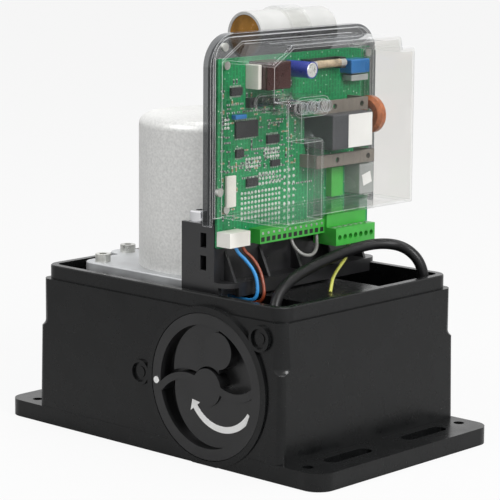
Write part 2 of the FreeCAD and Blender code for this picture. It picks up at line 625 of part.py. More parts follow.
def worm_wheel():
    """Bronze wheel whose teeth lean by the worm's lead angle, with clutch slots in its hub."""
    width, teeth = size("wheel_width"), int(size("wheel_teeth"))
    radius = size(WHEEL_RADIUS)
    root, tip = radius - size("wheel_module") * 1.2, radius + size("wheel_module") * 0.95
    lead = size("wheel_module") / (2 * size("worm_radius"))
    lean = lead * width / 2 / radius
    ends = []
    for side in (-1, 1):
        wire = toothed_ring(teeth, root, tip, 0.11, 0.30, side * lean)
        wire.translate(V(0, 0, side * width / 2))
        ends.append(wire)
    wheel = Part.makeLoft(ends, True, True)
    hub_radius, hub = size("hub_radius"), size("hub_length")
    wheel = wheel.fuse(Part.makeCylinder(hub_radius, hub, V(0, 0, -hub / 2)))
    for side in (-1, 1):
        base = width / 2 - 4
        web = Part.makeCylinder(root - 6, 5, V(0, 0, base)).cut(Part.makeCylinder(hub_radius + 2, 5, V(0, 0, base)))
        if side < 0:
            web.translate(V(0, 0, -2 * base - 5))
        wheel = wheel.cut(web)
    wheel = wheel.cut(Part.makeCylinder(size("shaft_radius + 2"), hub + 2, V(0, 0, -hub / 2 - 1)))
    slot_depth = size("lug_height") + 0.5
    return wheel.cut(clutch_lugs(hub / 2 - slot_depth, slot_depth + 1, size("loose_gap")))


def clutch_lugs(low, tall, grow):
    """Three dog lugs about the axis, or the slots for them when grown."""
    inner, outer = size("shaft_radius + 1"), size("hub_radius - 4") + grow
    half = 5 + grow
    lugs = []
    for i in range(3):
        lug = Part.makeBox(outer, 2 * half, tall, V(0, -half, low))
        lug.rotate(V(0, 0, 0), V(0, 0, 1), 90 + 120 * i)
        lugs.append(lug)
    star = lugs[0].fuse(lugs[1:])
    return star.common(Part.makeCylinder(outer, tall, V(0, 0, low))).cut(Part.makeCylinder(inner, tall, V(0, 0, low)))


def output_line():
    # local Z of these pieces points at the gate
    at = ("output_x", "0", "output_height", ALONG_BACK)
    shaft = new_body("output_shaft")
    big = "shaft_radius + 2 - running_gap"
    turn_about(shaft, [("0", "shaft_front"), ("shaft_radius", "shaft_front"),
                       ("shaft_radius", "front_bearing_y + bearing_width"),
                       (big, "front_bearing_y + bearing_width"), (big, "rear_bearing_y"),
                       ("shaft_radius", "rear_bearing_y"), ("shaft_radius", "pinion_y + pinion_width + 1"),
                       ("0", "pinion_y + pinion_width + 1")])
    pocket(shaft, "z", "shaft_front - 1", "clutch_front + clutch_length + release_travel + 4",
           ("circle", "0", "0", "rod_bore"))
    pin_y = "clutch_front + clutch_length / 2"
    pocket(shaft, "x", "-shaft_radius - 4", "shaft_radius + 4",
           ("slot", "0", pin_y, f"{pin_y} + release_travel", "pin_radius + loose_gap"))
    pocket(shaft, "x", "shaft_radius - key_depth", "shaft_radius + 4",
           ("rectangle", "-key_width / 2", "key_width / 2", "pinion_y", "pinion_y + pinion_width + 2"))
    pocket(shaft, "z", "pinion_y + 2", "pinion_y + pinion_width + 2", ("circle", "0", "0", "3.4"))
    place(shaft, *at)
    wheel = worm_wheel()
    shaped("worm_wheel", wheel, "output_x", "motor_y", "output_height", ALONG_BACK)
    pinion()
    key = new_body("shaft_key")
    pad(key, "x", "shaft_radius - key_depth", "shaft_radius + key_depth",
        ("rectangle", "-key_width / 2", "key_width / 2", "pinion_y + 1", "pinion_y + pinion_width - 1"))
    place(key, *at)
    end = "pinion_y + pinion_width + 1"
    turned("pinion_washer", ring("4.1", "washer_radius", end, f"{end} + washer_thickness"), *at)
    bolt = new_body("pinion_bolt")
    head = f"({end} + washer_thickness)"
    turn_about(bolt, [("0", "pinion_y + 6"), ("3.4", "pinion_y + 6"), ("3.4", end), ("4", end), ("4", head),
                      ("6", head), ("6", f"{head} + 5"), ("0", f"{head} + 5")])
    pocket(bolt, "z", f"{head} + 2", f"{head} + 6",
           [(f"3.2 * cos({a})", f"3.2 * sin({a})") for a in range(0, 360, 60)])
    place(bolt, *at)
    bearing("output_front_bearing", BEARING_GAP, "bearing_outer", "bearing_width",
            "output_x", "front_bearing_y", "output_height", ALONG_BACK)
    bearing("output_rear_bearing", BEARING_GAP, "bearing_outer", "bearing_width",
            "output_x", "rear_bearing_y", "output_height", ALONG_BACK)
    turned("oil_seal", [(BEARING_GAP, "0"), ("bearing_outer", "0"), ("bearing_outer", "seal_width"),
                        ("shaft_radius + 5", "seal_width"), ("shaft_radius + 4", "2"),
                        (f"{BEARING_GAP} + 1.5", "5"), (BEARING_GAP, "5")],
           "output_x", "seal_y", "output_height", ALONG_BACK)


def pinion():
    """Spur pinion for the gate's rack: one tooth space cut and repeated."""
    body = new_body("drive_pinion")
    radius = "(pinion_module * pinion_teeth / 2)"
    tip, root = f"({radius} + pinion_module)", f"({radius} - 1.2 * pinion_module)"
    turn_about(body, [("shaft_radius", "0"), (f"{tip} - 1", "0"), (tip, "1"), (tip, "pinion_width - 1"),
                      (f"{tip} - 1", "pinion_width"), ("shaft_radius", "pinion_width")])
    half = "(90 / pinion_teeth)"
    flank = [(f"{root}", f"-{half} * 0.62"), (f"{radius}", f"-{half} * 1.0"), (f"({tip} + 1)", f"-{half} * 1.42")]
    points = [(f"{r} * cos({a})", f"{r} * sin({a})") for r, a in flank]
    points += [(f"{r} * cos({a})", f"-{r} * sin({a})") for r, a in reversed(flank)]
    space = pocket(body, "z", "-1", "pinion_width + 1", points)
    ring_pattern(body, space, "pinion_teeth")
    pocket(body, "z", "-1", "pinion_width + 1",
           ("rectangle", "0", "shaft_radius + key_depth", "-key_width / 2", "key_width / 2"))
    place(body, "output_x", "pinion_y", "output_height", ALONG_BACK)


# ---------------------------------------------------------------- manual release
def release_line():
    # local Z of the knob points at the user
    knob()
    squeeze = "(cup_depth - knob_depth) / 2 - 0.02"
    turned("knob_seal", bead("hub_bore_radius + 2.6", squeeze, squeeze),
           "output_x", f"{CUP_BACK} - (cup_depth - knob_depth) / 2", "output_height", ALONG_FRONT)
    slider = new_body("release_slider")
    ring_inner = "hub_bore_radius + loose_gap"
    turn_about(slider, [("0", "slider_back - 2.5"), (ring_inner, "slider_back - 2.5"), (ring_inner, "slider_front"),
                        ("slider_outer", "slider_front"), ("slider_outer", "slider_back"), ("0", "slider_back")])
    pad(slider, "z", "slider_back - 2.5", "slider_back",
        ("rectangle", "-guide_distance - 5", "guide_distance + 5", "-6", "6"))
    doc.recompute()
    pocket(slider, "z", "slider_back - 5", "slider_back + 1",
           *[("circle", f"{side} * guide_distance", "0", "guide_radius + running_gap") for side in ("-1", "1")])
    for side, low, high in (("1", "hub_bore_radius - 2.5", "slider_outer - 1"),
                            ("-1", "-slider_outer + 1", "-hub_bore_radius + 2.5")):
        pad(slider, "x", low, high, ("circle", "0", "follower_y", "follower_radius"))
    place(slider, "output_x", "0", "output_height", ALONG_BACK)
    pins = [rod(f"guide_{label}", "guide_radius", f"chamber_front - wall - {CUP_BACK} - cup_wall + 2",
                f"output_x + {side} * guide_distance", f"{CUP_BACK} + cup_wall - 1", "output_height", ALONG_BACK)
            for label, side in (("left", "-1"), ("right", "1"))]
    node(combine("Compound", "guide_pins", pins), "guide_pins")
    at = ("output_x", "0", "output_height", ALONG_BACK)
    rod_radius, pin_place = "rod_bore - running_gap", "clutch_front + clutch_length / 2"
    push_rod = turned("clutch_rod", [("0", "slider_back + 0.1"), (f"{rod_radius} - 1", "slider_back + 0.1"),
                                     (rod_radius, "slider_back + 1.2"), (rod_radius, "clutch_front + clutch_length"),
                                     ("0", "clutch_front + clutch_length")], *at)
    pocket(push_rod, "x", "-rod_bore", "rod_bore", ("circle", "0", pin_place, "pin_radius"))
    node(rod("clutch_pin", "pin_radius", "2 * pin_reach", "output_x - pin_reach", pin_place, "output_height",
             ALONG_RIGHT), "clutch_pin")
    dog = Part.makeCylinder(size("hub_radius"), size("clutch_length"), V(0, 0, size("clutch_front")))
    dog = dog.fuse(clutch_lugs(size("clutch_front - lug_height"), size("lug_height") + 1, 0))
    dog = dog.cut(Part.makeCylinder(size("shaft_radius + 2"), 40, V(0, 0, -10)))
    reach = size("pin_reach")
    dog = dog.cut(Part.makeCylinder(size("pin_radius"), 2 * reach, V(-reach, 0, size(pin_place)), V(1, 0, 0)))
    shaped("clutch_dog", dog, *at)


def knob():
    """Release knob: a rimmed disc with a hollow front, two comma-shaped lands and an S-shaped grip."""
    at = ("output_x", "0", "output_height", ALONG_FRONT)
    well = size("knob_radius - knob_rim")
    face, depth, grip = size("knob_face"), size("knob_depth"), size("grip_depth")
    base = face - depth
    floor = face - grip

    def column(radius, x, y, top, bottom=floor - 0.5):
        return Part.makeCylinder(radius, top - bottom, V(x, y, bottom))

    hub, radius = size("hub_bore_radius"), size("knob_radius")
    half_section = [(0, -size("knob_hub_end")), (hub, -size("knob_hub_end")), (hub, base), (radius, base),
                    (radius, face), (well, face), (well, floor), (0, floor)]
    outline = [V(across, 0, up) for across, up in half_section]
    disc = Part.Face(Part.makePolygon([*outline, outline[0]])).revolve(V(0, 0, 0), V(0, 0, 1), 360)
    hollow = column(well + 0.5, 0, 0, face)
    # upper land: a circle that runs into the rim, cut away along the grip and right of the lobe
    upper = column(31.5, 3, 8, face - 2).cut(column(33.5, -16, -25, face))
    upper = upper.cut(column(12.6, 1, 0, face)).cut(Part.makeBox(40, 60, 20, V(9.4, -20, floor - 1)))
    lobe = column(11.4, 9.4, 23.7, face - 0.6)
    # lower land: a second circle below the grip
    lower = column(33, 6.3, -3.4, face - 1).common(Part.makeBox(90, 60, 20, V(-45, -57, floor - 0.5)))
    lower = lower.cut(column(24.4, 23, 24, face))
    # grip: two bent arms from the rim to the middle boss
    left = column(31.5, -16, -25, face).cut(column(27, -16, -25, face + 1, floor - 1))
    left = left.common(Part.makeBox(42, 30, 20, V(-42, -8, floor - 0.5)))
    right = column(29.2, 23, 24, face).cut(column(24.4, 23, 24, face + 1, floor - 1))
    right = right.common(Part.makeBox(42, 20, 20, V(2, -10, floor - 0.5)))
    boss = column(11.6, 1, 0, face)
    lands = upper.fuse([lobe, lower, left, right, boss]).common(hollow)
    disc = disc.fuse(lands).removeSplitter().cut(release_groove())
    return shaped("release_knob", disc, *at)


def release_groove():
    """Two helical grooves in the knob's hub: turning the knob drives the slider's followers back."""
    hub, travel, turn = size("hub_bore_radius"), size("release_travel"), size("release_turn")
    half = size("follower_radius") + 0.25
    end_height = -size("follower_y") - travel
    grooves = []
    for phase in (0, 180):
        helix = Part.makeHelix(travel * 360 / turn, travel, hub, 0, True)
        section = Part.makePolygon([V(hub - 2.9, 0, -half), V(hub + 1, 0, -half), V(hub + 1, 0, half),
                                    V(hub - 2.9, 0, half), V(hub - 2.9, 0, -half)])
        groove = Part.Wire(helix.Edges).makePipeShell([section], True, True)
        groove.translate(V(0, 0, end_height))
        groove.rotate(V(0, 0, 0), V(0, 0, 1), phase + turn)
        grooves.append(groove)
        for angle, height in ((phase, end_height + travel), (phase + turn, end_height)):
            # round ends, a little wider and deeper than the groove between them
            peg = Part.makeCylinder(half + 0.2, 5, V(hub - 3.2, 0, height), V(1, 0, 0))
            peg.rotate(V(0, 0, 0), V(0, 0, 1), angle)
            grooves.append(peg)
    return grooves[0].fuse(grooves[1:])


# ---------------------------------------------------------------- board carrier
def carrier():
    """Ribbed black bracket, smoked tray and the plate that closes the gear chamber."""
    cover = new_body("gear_cover")
    pad(cover, "z", "seat_height", "seat_height + 3.5",
        ("rectangle", "plate_right + 0.5", "output_x + 52", "chamber_front - wall", "chamber_back + wall"))
    dress_edges(cover, "Fillet", "4", lambda edge: is_upright(edge))
    bracket()
    tray = new_body("board_tray")
    side, low, high = "tray_half", "tray_low", "tray_high"
    pad(tray, "x", "tray_back", "board_face", ("arch", f"-{side}", side, low, high, "tray_corner"))
    pocket(tray, "x", "tray_back + tray_wall", "board_face + 1",
           ("arch", f"-{side} + tray_wall", f"{side} - tray_wall", f"{low} - 1", f"{high} - tray_wall",
            "tray_corner - tray_wall"))
    for across, up in BOARD_SCREWS:
        pad(tray, "x", "tray_back + tray_wall - 0.5", "board_face - board_thickness", ("circle", across, up, "4"))
        pocket(tray, "x", "tray_back - 1", "board_face", ("circle", across, up, "1.5"))
    screws = []
    for index, (across, up) in enumerate(BOARD_SCREWS):
        head = rod(f"board_screw_head_{index}", "screw_head", "2", "board_face", across, up, ALONG_RIGHT)
        stem = rod(f"board_screw_stem_{index}", "1.5", "5", "board_face - 4.9", across, up, ALONG_RIGHT)
        screws.append(combine("MultiFuse", f"board_screw_{index}", [head, stem]))
    node(combine("Compound", "board_screws", screws), "board_screws")


BOARD_SCREWS = [("-board_half + 6.5", "board_high - 4"), ("-board_half + 6.5", "tray_low + 9.5"),
                ("board_half - 3.5", "board_high - 4"), ("board_half - 3.5", "tray_low + 9.5")]


def bracket():
    body = new_body("board_bracket")
    low, top = PLATE_TOP, "tray_low"
    left, right, front = "bracket_left", "bracket_right", "bracket_front"
    pad(body, "z", low, f"{low} + bracket_wall", ("rectangle", left, right, front, "board_half"))
    dress_edges(body, "Fillet", "9", lambda edge: is_upright(edge) and edge.BoundBox.XMin > size(right) - 1)
    pad(body, "z", f"{low} - skirt", low, ("rectangle", left, f"{right} - 9", front, f"{front} + bracket_wall"),)
    pad(body, "z", f"{low} - skirt", low,
        ("rectangle", f"{right} - bracket_wall", right, f"{front} + 9", "board_half - 9"))
    pad(body, "z", low, top, ("rectangle", "plate_right + 0.5", "plate_right + 0.5 + bracket_wall", front, "board_half"))
    pad(body, "y", front, f"{front} + bracket_wall", ("rectangle", left, "plate_right + 2", low, top))
    pad(body, "z", low, top, ("circle", "bracket_left + 8", f"{front} + 8", "7"))
    wall = "plate_right + bracket_wall"
    for step in range(5):
        middle = f"-board_half + 10 + {step} * (2 * board_half - 20) / 4"
        pad(body, "y", f"{middle} - 1", f"{middle} + 1",
            [(wall, low), ("bracket_right - 2", low), (wall, "board_low - 1")])
    pocket(body, "z", f"{low} - 1", f"{top} + 1", ("circle", "motor_x", "motor_y", "motor_radius + 1.5"))
    for height in ("0.25", "0.62"):
        sill = f"{low} + ({top} - {low}) * {height}"
        pocket(body, "y", f"{front} - 1", f"{front} + bracket_wall + 1",
               ("rectangle", "bracket_left + 16", "plate_right - 3", sill, f"{sill} + 9"))
    pocket(body, "z", f"{top} - bolt_length", f"{top} + 1",
           ("circle", "bracket_left + 8", f"{front} + 8", "bolt_radius"))
    pocket(body, "z", f"{low} - 1", f"{low} + bracket_wall + 1", ("circle", *FLANGE_SCREWS[-1], "head_radius + 1.2"))
    bolt = new_body("bracket_bolt")
    turn_about(bolt, [("0", "-bolt_length"), ("bolt_radius", "-bolt_length"), ("bolt_radius", "0"),
                      ("bolt_head", "0"), ("bolt_head", "6"), ("bolt_head - 0.7", "6.8"), ("0", "6.8")])
    pocket(bolt, "z", "3", "8", [(f"2.9 * cos({a})", f"2.9 * sin({a})") for a in range(0, 360, 60)])
    place(bolt, "bracket_left + 8", "bracket_front + 8", "tray_low")


# ---------------------------------------------------------------- clear cover and its buttons
def clear_cover():
    """Thin clear moulding in steps, with a deep bay at the left and a tunnel round the buttons."""
    body = new_body("clear_cover")
    skin = "cover_wall"
    base = "board_face + 0.2"
    pad(body, "x", base, f"{base} + {skin}",
        ("rectangle", "cover_left - 6", "cover_right + 8", "cover_low", "cover_high + 3"))
    dress_edges(body, "Fillet", "tray_corner - 6", lambda edge: is_upright(edge, "x")
                and edge.BoundBox.ZMax > size("cover_high"))
    pad(body, "x", base, "cover_face", main_outline("0"))
    pad(body, "x", base, "bay_face", bay_outline("0"))
    dress_edges(body, "Fillet", "3.5", lambda edge: edge.BoundBox.XMin > size(base) + 5 and edge.Length > 8)
    pocket(body, "x", f"{base} - 1", f"cover_face - {skin}", main_outline(skin))
    pocket(body, "x", f"{base} - 1", f"bay_face - {skin}", bay_outline(skin))
    pocket(body, "x", "board_face", f"{base} + {skin} + 0.1", *[("circle", a, b, "1.3") for a, b in COVER_SCREWS])
    pocket(body, "x", "board_face", f"{base} + {skin} + 0.1",
           *[("circle", a, b, "screw_head + 0.5") for a, b in BOARD_SCREWS[2:]])
    across, up = "button_y", "button_z"
    outer, reach = "button_radius + 2.4", "button_pitch"
    pad(body, "x", "board_face + 10", "cover_face - 0.4", side_slot(across, up, reach, outer))
    pocket(body, "x", "board_face + 9", "cover_face - 2.4", side_slot(across, up, reach, f"{outer} - tunnel_wall"))
    pocket(body, "x", "board_face + 9", "cover_face + 1",
           *[("circle", f"{across} + {step} * button_pitch", up, "button_radius + running_gap * 2")
             for step in (-1, 0, 1)])
    return body


COVER_SCREWS = [("cover_left + 1", "cover_high - 2.5"), ("cover_right + 3.5", "cover_low + 16"),
                ("cover_left - 3", "cover_low + 16")]


def cover_screws():
    screws = []
    outside = "board_face + 0.2 + cover_wall"
    for index, (across, up) in enumerate(COVER_SCREWS):
        head = rod(f"cover_head_{index}", "screw_head", "1.8", outside, across, up, ALONG_RIGHT)
        stem = rod(f"cover_stem_{index}", "1.2", "cover_wall + 0.1", "board_face + 0.15", across, up, ALONG_RIGHT)
        screws.append(combine("MultiFuse", f"cover_screw_{index}", [head, stem]))
    node(combine("Compound", "cover_screws", screws), "cover_screws")


def side_slot(across, up, reach, radius):
    """Outline of a level slot as a stadium of short chords on its two ends."""
    points = []
    for side, start in ((1, -90), (-1, 90)):
        for step in range(7):
            angle = start + step * 30
            points.append((f"{across} + {side} * {reach} + ({radius}) * cos({angle})", f"{up} + ({radius}) * sin({angle})"))
    return points


def main_outline(inset):
    left, right = f"cover_left + {inset}", f"cover_right - {inset}"
    low, high = f"cover_low + {inset}", f"cover_high - {inset}"
    slope = "cover_slope"
    return [(left, low), (right, low), (right, f"{high} - 8"), (f"{right} - 12", f"{high} - 8"),
            (f"{right} - 14", high), (f"{left} + {slope}", high), (left, f"{high} - {slope} * 0.6")]


def bay_outline(inset):
    left, low = f"cover_left + {inset}", f"cover_low + {inset}"
    return [(left, low), (f"bay_right - {inset}", low), (f"bay_right - {inset}", f"bay_mid - {inset}"),
            (f"bay_step - {inset}", f"bay_mid - {inset}"), (f"bay_step - {inset}", f"bay_top - {inset}"),
            (left, f"bay_top - {inset}")]


def buttons():
    for index, label in enumerate(("left", "middle", "right")):
        body = new_body("button_" + label)
        start = "board_face + 6.3"
        turn_about(body, [("0", start), ("1.2", start), ("1.2", "cover_face - 6"), ("2.2", "cover_face - 5"),
                          ("2.2", "cover_face - 3.9"), ("button_radius", "cover_face - 3.9"),
                          ("button_radius", "cover_face + 2"), ("button_radius - 0.7", "cover_face + 2.7"),
                          ("0", "cover_face + 2.7")])
        place(body, "0", f"button_y + {index - 1} * button_pitch", "button_z", ALONG_RIGHT)


# ---------------------------------------------------------------- control board
def board():
    plate = new_body("circuit_board")
    back = "board_face - board_thickness"
    pad(plate, "x", back, "board_face", ("rectangle", "-board_half", "board_half", "board_low", "board_high"))
    dress_edges(plate, "Fillet", "1.5", lambda edge: is_upright(edge, "x"))
    pocket(plate, "x", f"{back} - 1", "board_face + 1", *[("circle", a, b, "1.6") for a, b in BOARD_SCREWS])
    for name in ("relay", "varistor", "transformer", "small_relay"):
        component(name, "1")
    fuse()
    sinks()
    toroid()
    capacitor = rod("filter_capacitor", "5.2", "20", "board_face", "-8", "238", ALONG_RIGHT)
    node(capacitor, "filter_capacitor")
    switches = []
    for step in (-1, 0, 1):
        across = f"button_y + {step} * button_pitch"
        case = block(f"tact_case_{step + 1}", "board_face", "board_face + 4", f"{across} - 3", f"{across} + 3",
                     "button_z - 3", "button_z + 3")
        cap = rod(f"tact_cap_{step + 1}", "1.7", "1", "board_face + 4", across, "button_z", ALONG_RIGHT)
        switches.append(combine("MultiFuse", f"tact_{step + 1}", [case, cap]))
    node(combine("Compound", "tact_switches", switches), "tact_switches")
    sockets()


def edges_of(name):
    return (f"{name}_across - {name}_width / 2", f"{name}_across + {name}_width / 2",
            f"{name}_up - {name}_tall / 2", f"{name}_up + {name}_tall / 2")


def component(name, corner):
    body = new_body(name)
    pad(body, "x", "board_face", f"board_face + {name}_deep", ("rectangle", *edges_of(name)))
    dress_edges(body, "Fillet", corner, lambda edge: edge.BoundBox.XMax > size("board_face") + 0.1)
    return body


def fuse():
    body = new_body("fuse_holder")
    y0, y1, z0, z1 = edges_of("fuse_holder")
    pad(body, "x", "board_face", "board_face + 2", ("rectangle", y0, y1, z0, z1))
    for end in (f"{y0} + 1", f"{y1} - 6"):
        pad(body, "x", "board_face + 1", "board_face + fuse_holder_deep", ("rectangle", end, f"{end} + 5", z0, z1))
    pocket(body, "y", f"{y0} - 1", f"{y1} + 1", ("circle", "board_face + 6", "fuse_holder_up", "2.6"))
    tube = rod("fuse", "2.55", "fuse_holder_width - 3", "board_face + 6", f"{y0} + 1.5", "fuse_holder_up", ALONG_BACK)
    node(tube, "fuse")


def sinks():
    """Folded strips that bridge the power parts, each on two legs."""
    strips = []
    for name in ("heat_sink", "lower_sink"):
        y0, y1, z0, z1 = edges_of(name)
        outer = f"board_face + {name}_deep"
        plate = block(name + "_strip", f"{outer} - 2", outer, y0, y1, z0, z1)
        legs = [block(f"{name}_leg_{label}", "board_face", f"{outer} - 1", end, f"{end} + 2", z0, z1)
                for label, end in (("left", f"{y0} + 1"), ("right", f"{y1} - 3"))]
        holes = [rod(f"{name}_hole_{label}", "1.8", "4", f"{outer} - 3", across, f"{name}_up", ALONG_RIGHT)
                 for label, across in (("left", f"{y0} + 20"), ("right", f"{y1} - 6"))]
        strip = combine("MultiFuse", name + "_folded", [plate, *legs])
        strips.append(combine("Cut", name, [strip, combine("MultiFuse", name + "_holes", holes)]))
    node(combine("Compound", "heat_sinks", strips), "heat_sinks")


def toroid():
    turned("toroid_coil", bead("toroid_tall / 2 - 4", "4", "toroid_width / 2"),
           "board_face + toroid_tall / 2", "toroid_across", "toroid_up", ALONG_FRONT)


def sockets():
    header = new_body("terminal_header")
    y0, y1, z0, z1 = edges_of("header")
    pad(header, "x", "board_face", "board_face + header_deep", ("rectangle", y0, y1, z0, z1))
    for step in range(12):
        across = f"{y0} + 2.5 + {step} * 5.08 * (header_width - 5) / 55.88"
        pocket(header, "z", f"{z0} - 1", f"{z0} + 6",
               ("rectangle", "board_face + 1.6", "board_face + header_deep - 1.2", f"{across} - 1.9", f"{across} + 1.9"))
    plug = new_body("terminal_plug")
    y0, y1, z0, z1 = edges_of("plug")
    pad(plug, "x", "board_face", "board_face + plug_deep - 8", ("rectangle", y0, y1, z0, z1))
    pad(plug, "x", "board_face + plug_deep - 9", "board_face + plug_deep", ("rectangle", y0, y1, z0, f"{z1} - 9"))
    for step in range(7):
        across = f"{y0} + 3.6 + {step} * (plug_width - 7.2) / 6"
        pocket(plug, "z", f"{z0} - 1", f"{z0} + 7",
               ("circle", "board_face + plug_deep - 5", across, "1.7"))
        pocket(plug, "x", "board_face + plug_deep - 3", "board_face + plug_deep + 1",
               ("circle", across, f"{z0} + 5", "1.7"))
    socket = new_body("motor_socket")
    y0, y1, z0, z1 = edges_of("motor_plug")
    pad(socket, "x", "board_face", "board_face + motor_plug_deep", ("rectangle", y0, y1, z0, z1))
    for step in range(3):
        across = f"{y0} + 3.2 + {step} * (motor_plug_width - 6.4) / 2"
        pocket(socket, "z", f"{z0} - 1", f"{z0} + 5",
               ("rectangle", "board_face + 4", "board_face + motor_plug_deep - 2", f"{across} - 1.8", f"{across} + 1.8"))


# ---------------------------------------------------------------- run capacitor
def run_capacitor():
    """Aluminium can with a rolled edge, open over its potting, and a fixing stud at the far end."""
    turned("run_capacitor", [("0", "2"), ("can_radius - 2.2", "2"), ("can_radius - 2.2", "0"),
                             ("can_radius - 0.6", "0"), ("can_radius", "0.8"), ("can_radius", "can_length - 1"),
                             ("can_radius - 1", "can_length"), ("4", "can_length"), ("4", "can_length + 11"),
                             ("0", "can_length + 11")],
           "can_x", "can_y", "can_z", ALONG_BACK)
    turned("capacitor_potting", [("0", "0.6"), ("can_radius - 2.2", "0.6"), ("can_radius - 2.2", "2"), ("0", "2")],
           "can_x", "can_y", "can_z", ALONG_BACK)
    clip = new_body("capacitor_clip")
    mid = "can_y + can_length / 2"
    pad(clip, "y", f"{mid} - 9", f"{mid} + 9", ("circle", "can_x", "can_z", "can_radius + 2"))
    pad(clip, "y", f"{mid} - 9", f"{mid} + 9",
        ("rectangle", "tray_back - 2.2", "tray_back", "can_z - 24", "can_z + 2"))
    pad(clip, "y", f"{mid} - 2", f"{mid} + 2",
        ("rectangle", "can_x", "tray_back - 1", "can_z - 20", "can_z - 4"))
    pocket(clip, "y", f"{mid} - 10", f"{mid} + 10", ("circle", "can_x", "can_z", "can_radius"))


# ---------------------------------------------------------------- leads
# each route runs from a plug or a bay; its ends sit in a pocket, in a wall or on the floor of a bay
ROUTES = {
    "power_cable": ("cable_radius", [(85, -55, 4), (85, -55, 22), (84, -56, 42), (81, -57, 62), (76, -56, 83),
                                     (71, -51, 102), (70, -35, 112.3), (66, -12.5, 116), (65, 6.2, 119.1),
                                     (66, 22.6, 122.1), (70, 42, 124.8), (77, 55.8, 124), (86, 60.5, 120.5),
                                     (92, 65, 112), (93.5, 67.5, 98), (94, 68.5, 78), (93.4, 67, 58), (94, 68.5, 39),
                                     (93.6, 67.5, 21), (93.6, 67.5, 4)]),
    "blue_lead": ("lead_radius", [(48.3, -62, 138.5), (48.3, -62, 131), (52, -55.5, 124.5), (56.5, -50.5, 114.5),
                                  (58.5, -52, 99.6), (44.6, -53.2, 99.3), (35.7, -54, 100.2)]),
    "brown_lead": ("lead_radius", [(48.3, -56.2, 138.5), (48.3, -56.2, 131), (53, -49.5, 124.5), (57.5, -46.5, 113.5),
                                   (61, -48.2, 99), (46, -49.6, 95.6), (35.7, -50, 99.4)]),
    "earth_lead": ("lead_radius", [(55.8, 37, 132), (55.8, 37, 124), (58, 32, 116), (62.5, 19, 111.5),
                                   (69, 6.5, 108.5), (75, -2, 107), (78, -7, 101.3)]),
    "grey_lead": ("lead_radius", [(46.5, 15.5, 138.5), (46.5, 15.5, 130), (52, 10, 123), (56, -0.5, 120.3),
                                  (53.5, -8, 122.5), (46.5, -9.5, 130), (46.5, -9.5, 138.5)]),
}


def leads():
    for name, (radius, points) in ROUTES.items():
        shaped(name, cord(name, size(radius), [V(*point) for point in points]))


def cord(name, radius, points):
    """Round tube along straight runs joined by tangent arcs as large as the runs allow."""
    edges = []
    start, tightest = points[0], math.inf
    for before, corner, after in zip(points, points[1:], points[2:]):
        into, out = corner - before, after - corner
        half_turn = into.getAngle(out) / 2
        reach = 0.45 * min(into.Length, out.Length)
        bend = reach / math.tan(half_turn)
        tightest = min(tightest, bend)
        into.normalize()
        out.normalize()
        inward = out - into
        inward.normalize()
        first, last = corner - into * reach, corner + out * reach
        middle = corner + inward * (math.hypot(reach, bend) - bend)
        edges += [Part.LineSegment(start, first).toShape(), Part.Arc(first, middle, last).toShape()]
        start = last
    edges.append(Part.LineSegment(start, points[-1]).toShape())
    path = Part.Wire(edges)
    section = Part.Wire(Part.makeCircle(radius, points[0], points[1] - points[0]))
    tube = path.makePipeShell([section], True, False)
    share = tube.Volume / (math.pi * radius ** 2 * path.Length)
    print(f"{name}: length {path.Length:.1f}, tightest bend {tightest:.1f}, volume share {share:.4f}")
    return tube


# ---------------------------------------------------------------- build, check and write
def build():
    base_housing()
    motor_flange()
    flange_screws()
    motor()
    stator()
    rotor_line()
    output_line()
    release_line()
    carrier()
    clear_cover()
    cover_screws()
    buttons()
    board()
    run_capacitor()
    leads()
    doc.recompute()


def check():
    for thing in doc.Objects:
        if "Invalid" in thing.State or "Error" in thing.State:
            raise RuntimeError(f"{thing.Name} is {thing.State}")
        if thing.TypeId in ("PartDesign::Pocket", "PartDesign::Groove") and thing.BaseFeature:
            if thing.Shape.Volume > thing.BaseFeature.Shape.Volume - 0.01:
                raise RuntimeError(f"{thing.Name} cuts nothing")
    for piece in NODES:
        if piece.Shape.isNull() or not piece.Shape.isValid() or not piece.Shape.Solids:
            raise RuntimeError(f"{piece.Label} is not a valid solid")


build()
check()
os.makedirs("parts", exist_ok=True)
for piece in NODES:
    piece.Shape.exportStep(f"parts/{piece.Label}.step")
print(len(NODES), "pieces written")
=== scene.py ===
"""Looks of the sliding gate motor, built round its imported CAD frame.

In the frame's own axes: X runs along the front face, Y from the release knob to the gate, Z up.
Sizes of the object are written in millimetres and pass through MM. The camera, lamps and floor are in metres.
"""

import json
import math
import random

import bmesh
import bpy
from mathutils import Matrix, Vector


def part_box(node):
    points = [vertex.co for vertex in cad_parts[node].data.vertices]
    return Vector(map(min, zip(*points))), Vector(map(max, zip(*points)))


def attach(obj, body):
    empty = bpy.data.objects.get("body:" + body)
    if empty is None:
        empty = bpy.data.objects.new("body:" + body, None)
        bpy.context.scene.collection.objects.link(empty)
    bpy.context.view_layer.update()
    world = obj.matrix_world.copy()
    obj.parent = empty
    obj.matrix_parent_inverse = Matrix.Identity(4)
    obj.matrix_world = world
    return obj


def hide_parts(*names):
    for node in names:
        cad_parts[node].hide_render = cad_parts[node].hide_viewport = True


MM = 0.001
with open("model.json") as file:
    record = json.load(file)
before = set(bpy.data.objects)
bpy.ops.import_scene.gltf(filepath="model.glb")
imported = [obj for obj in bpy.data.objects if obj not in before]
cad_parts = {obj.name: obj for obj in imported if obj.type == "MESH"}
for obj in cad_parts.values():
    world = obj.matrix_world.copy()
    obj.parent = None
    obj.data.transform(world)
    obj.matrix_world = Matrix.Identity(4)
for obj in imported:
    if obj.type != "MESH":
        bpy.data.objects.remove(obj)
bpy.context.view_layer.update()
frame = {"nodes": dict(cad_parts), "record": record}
nodes = frame["nodes"]


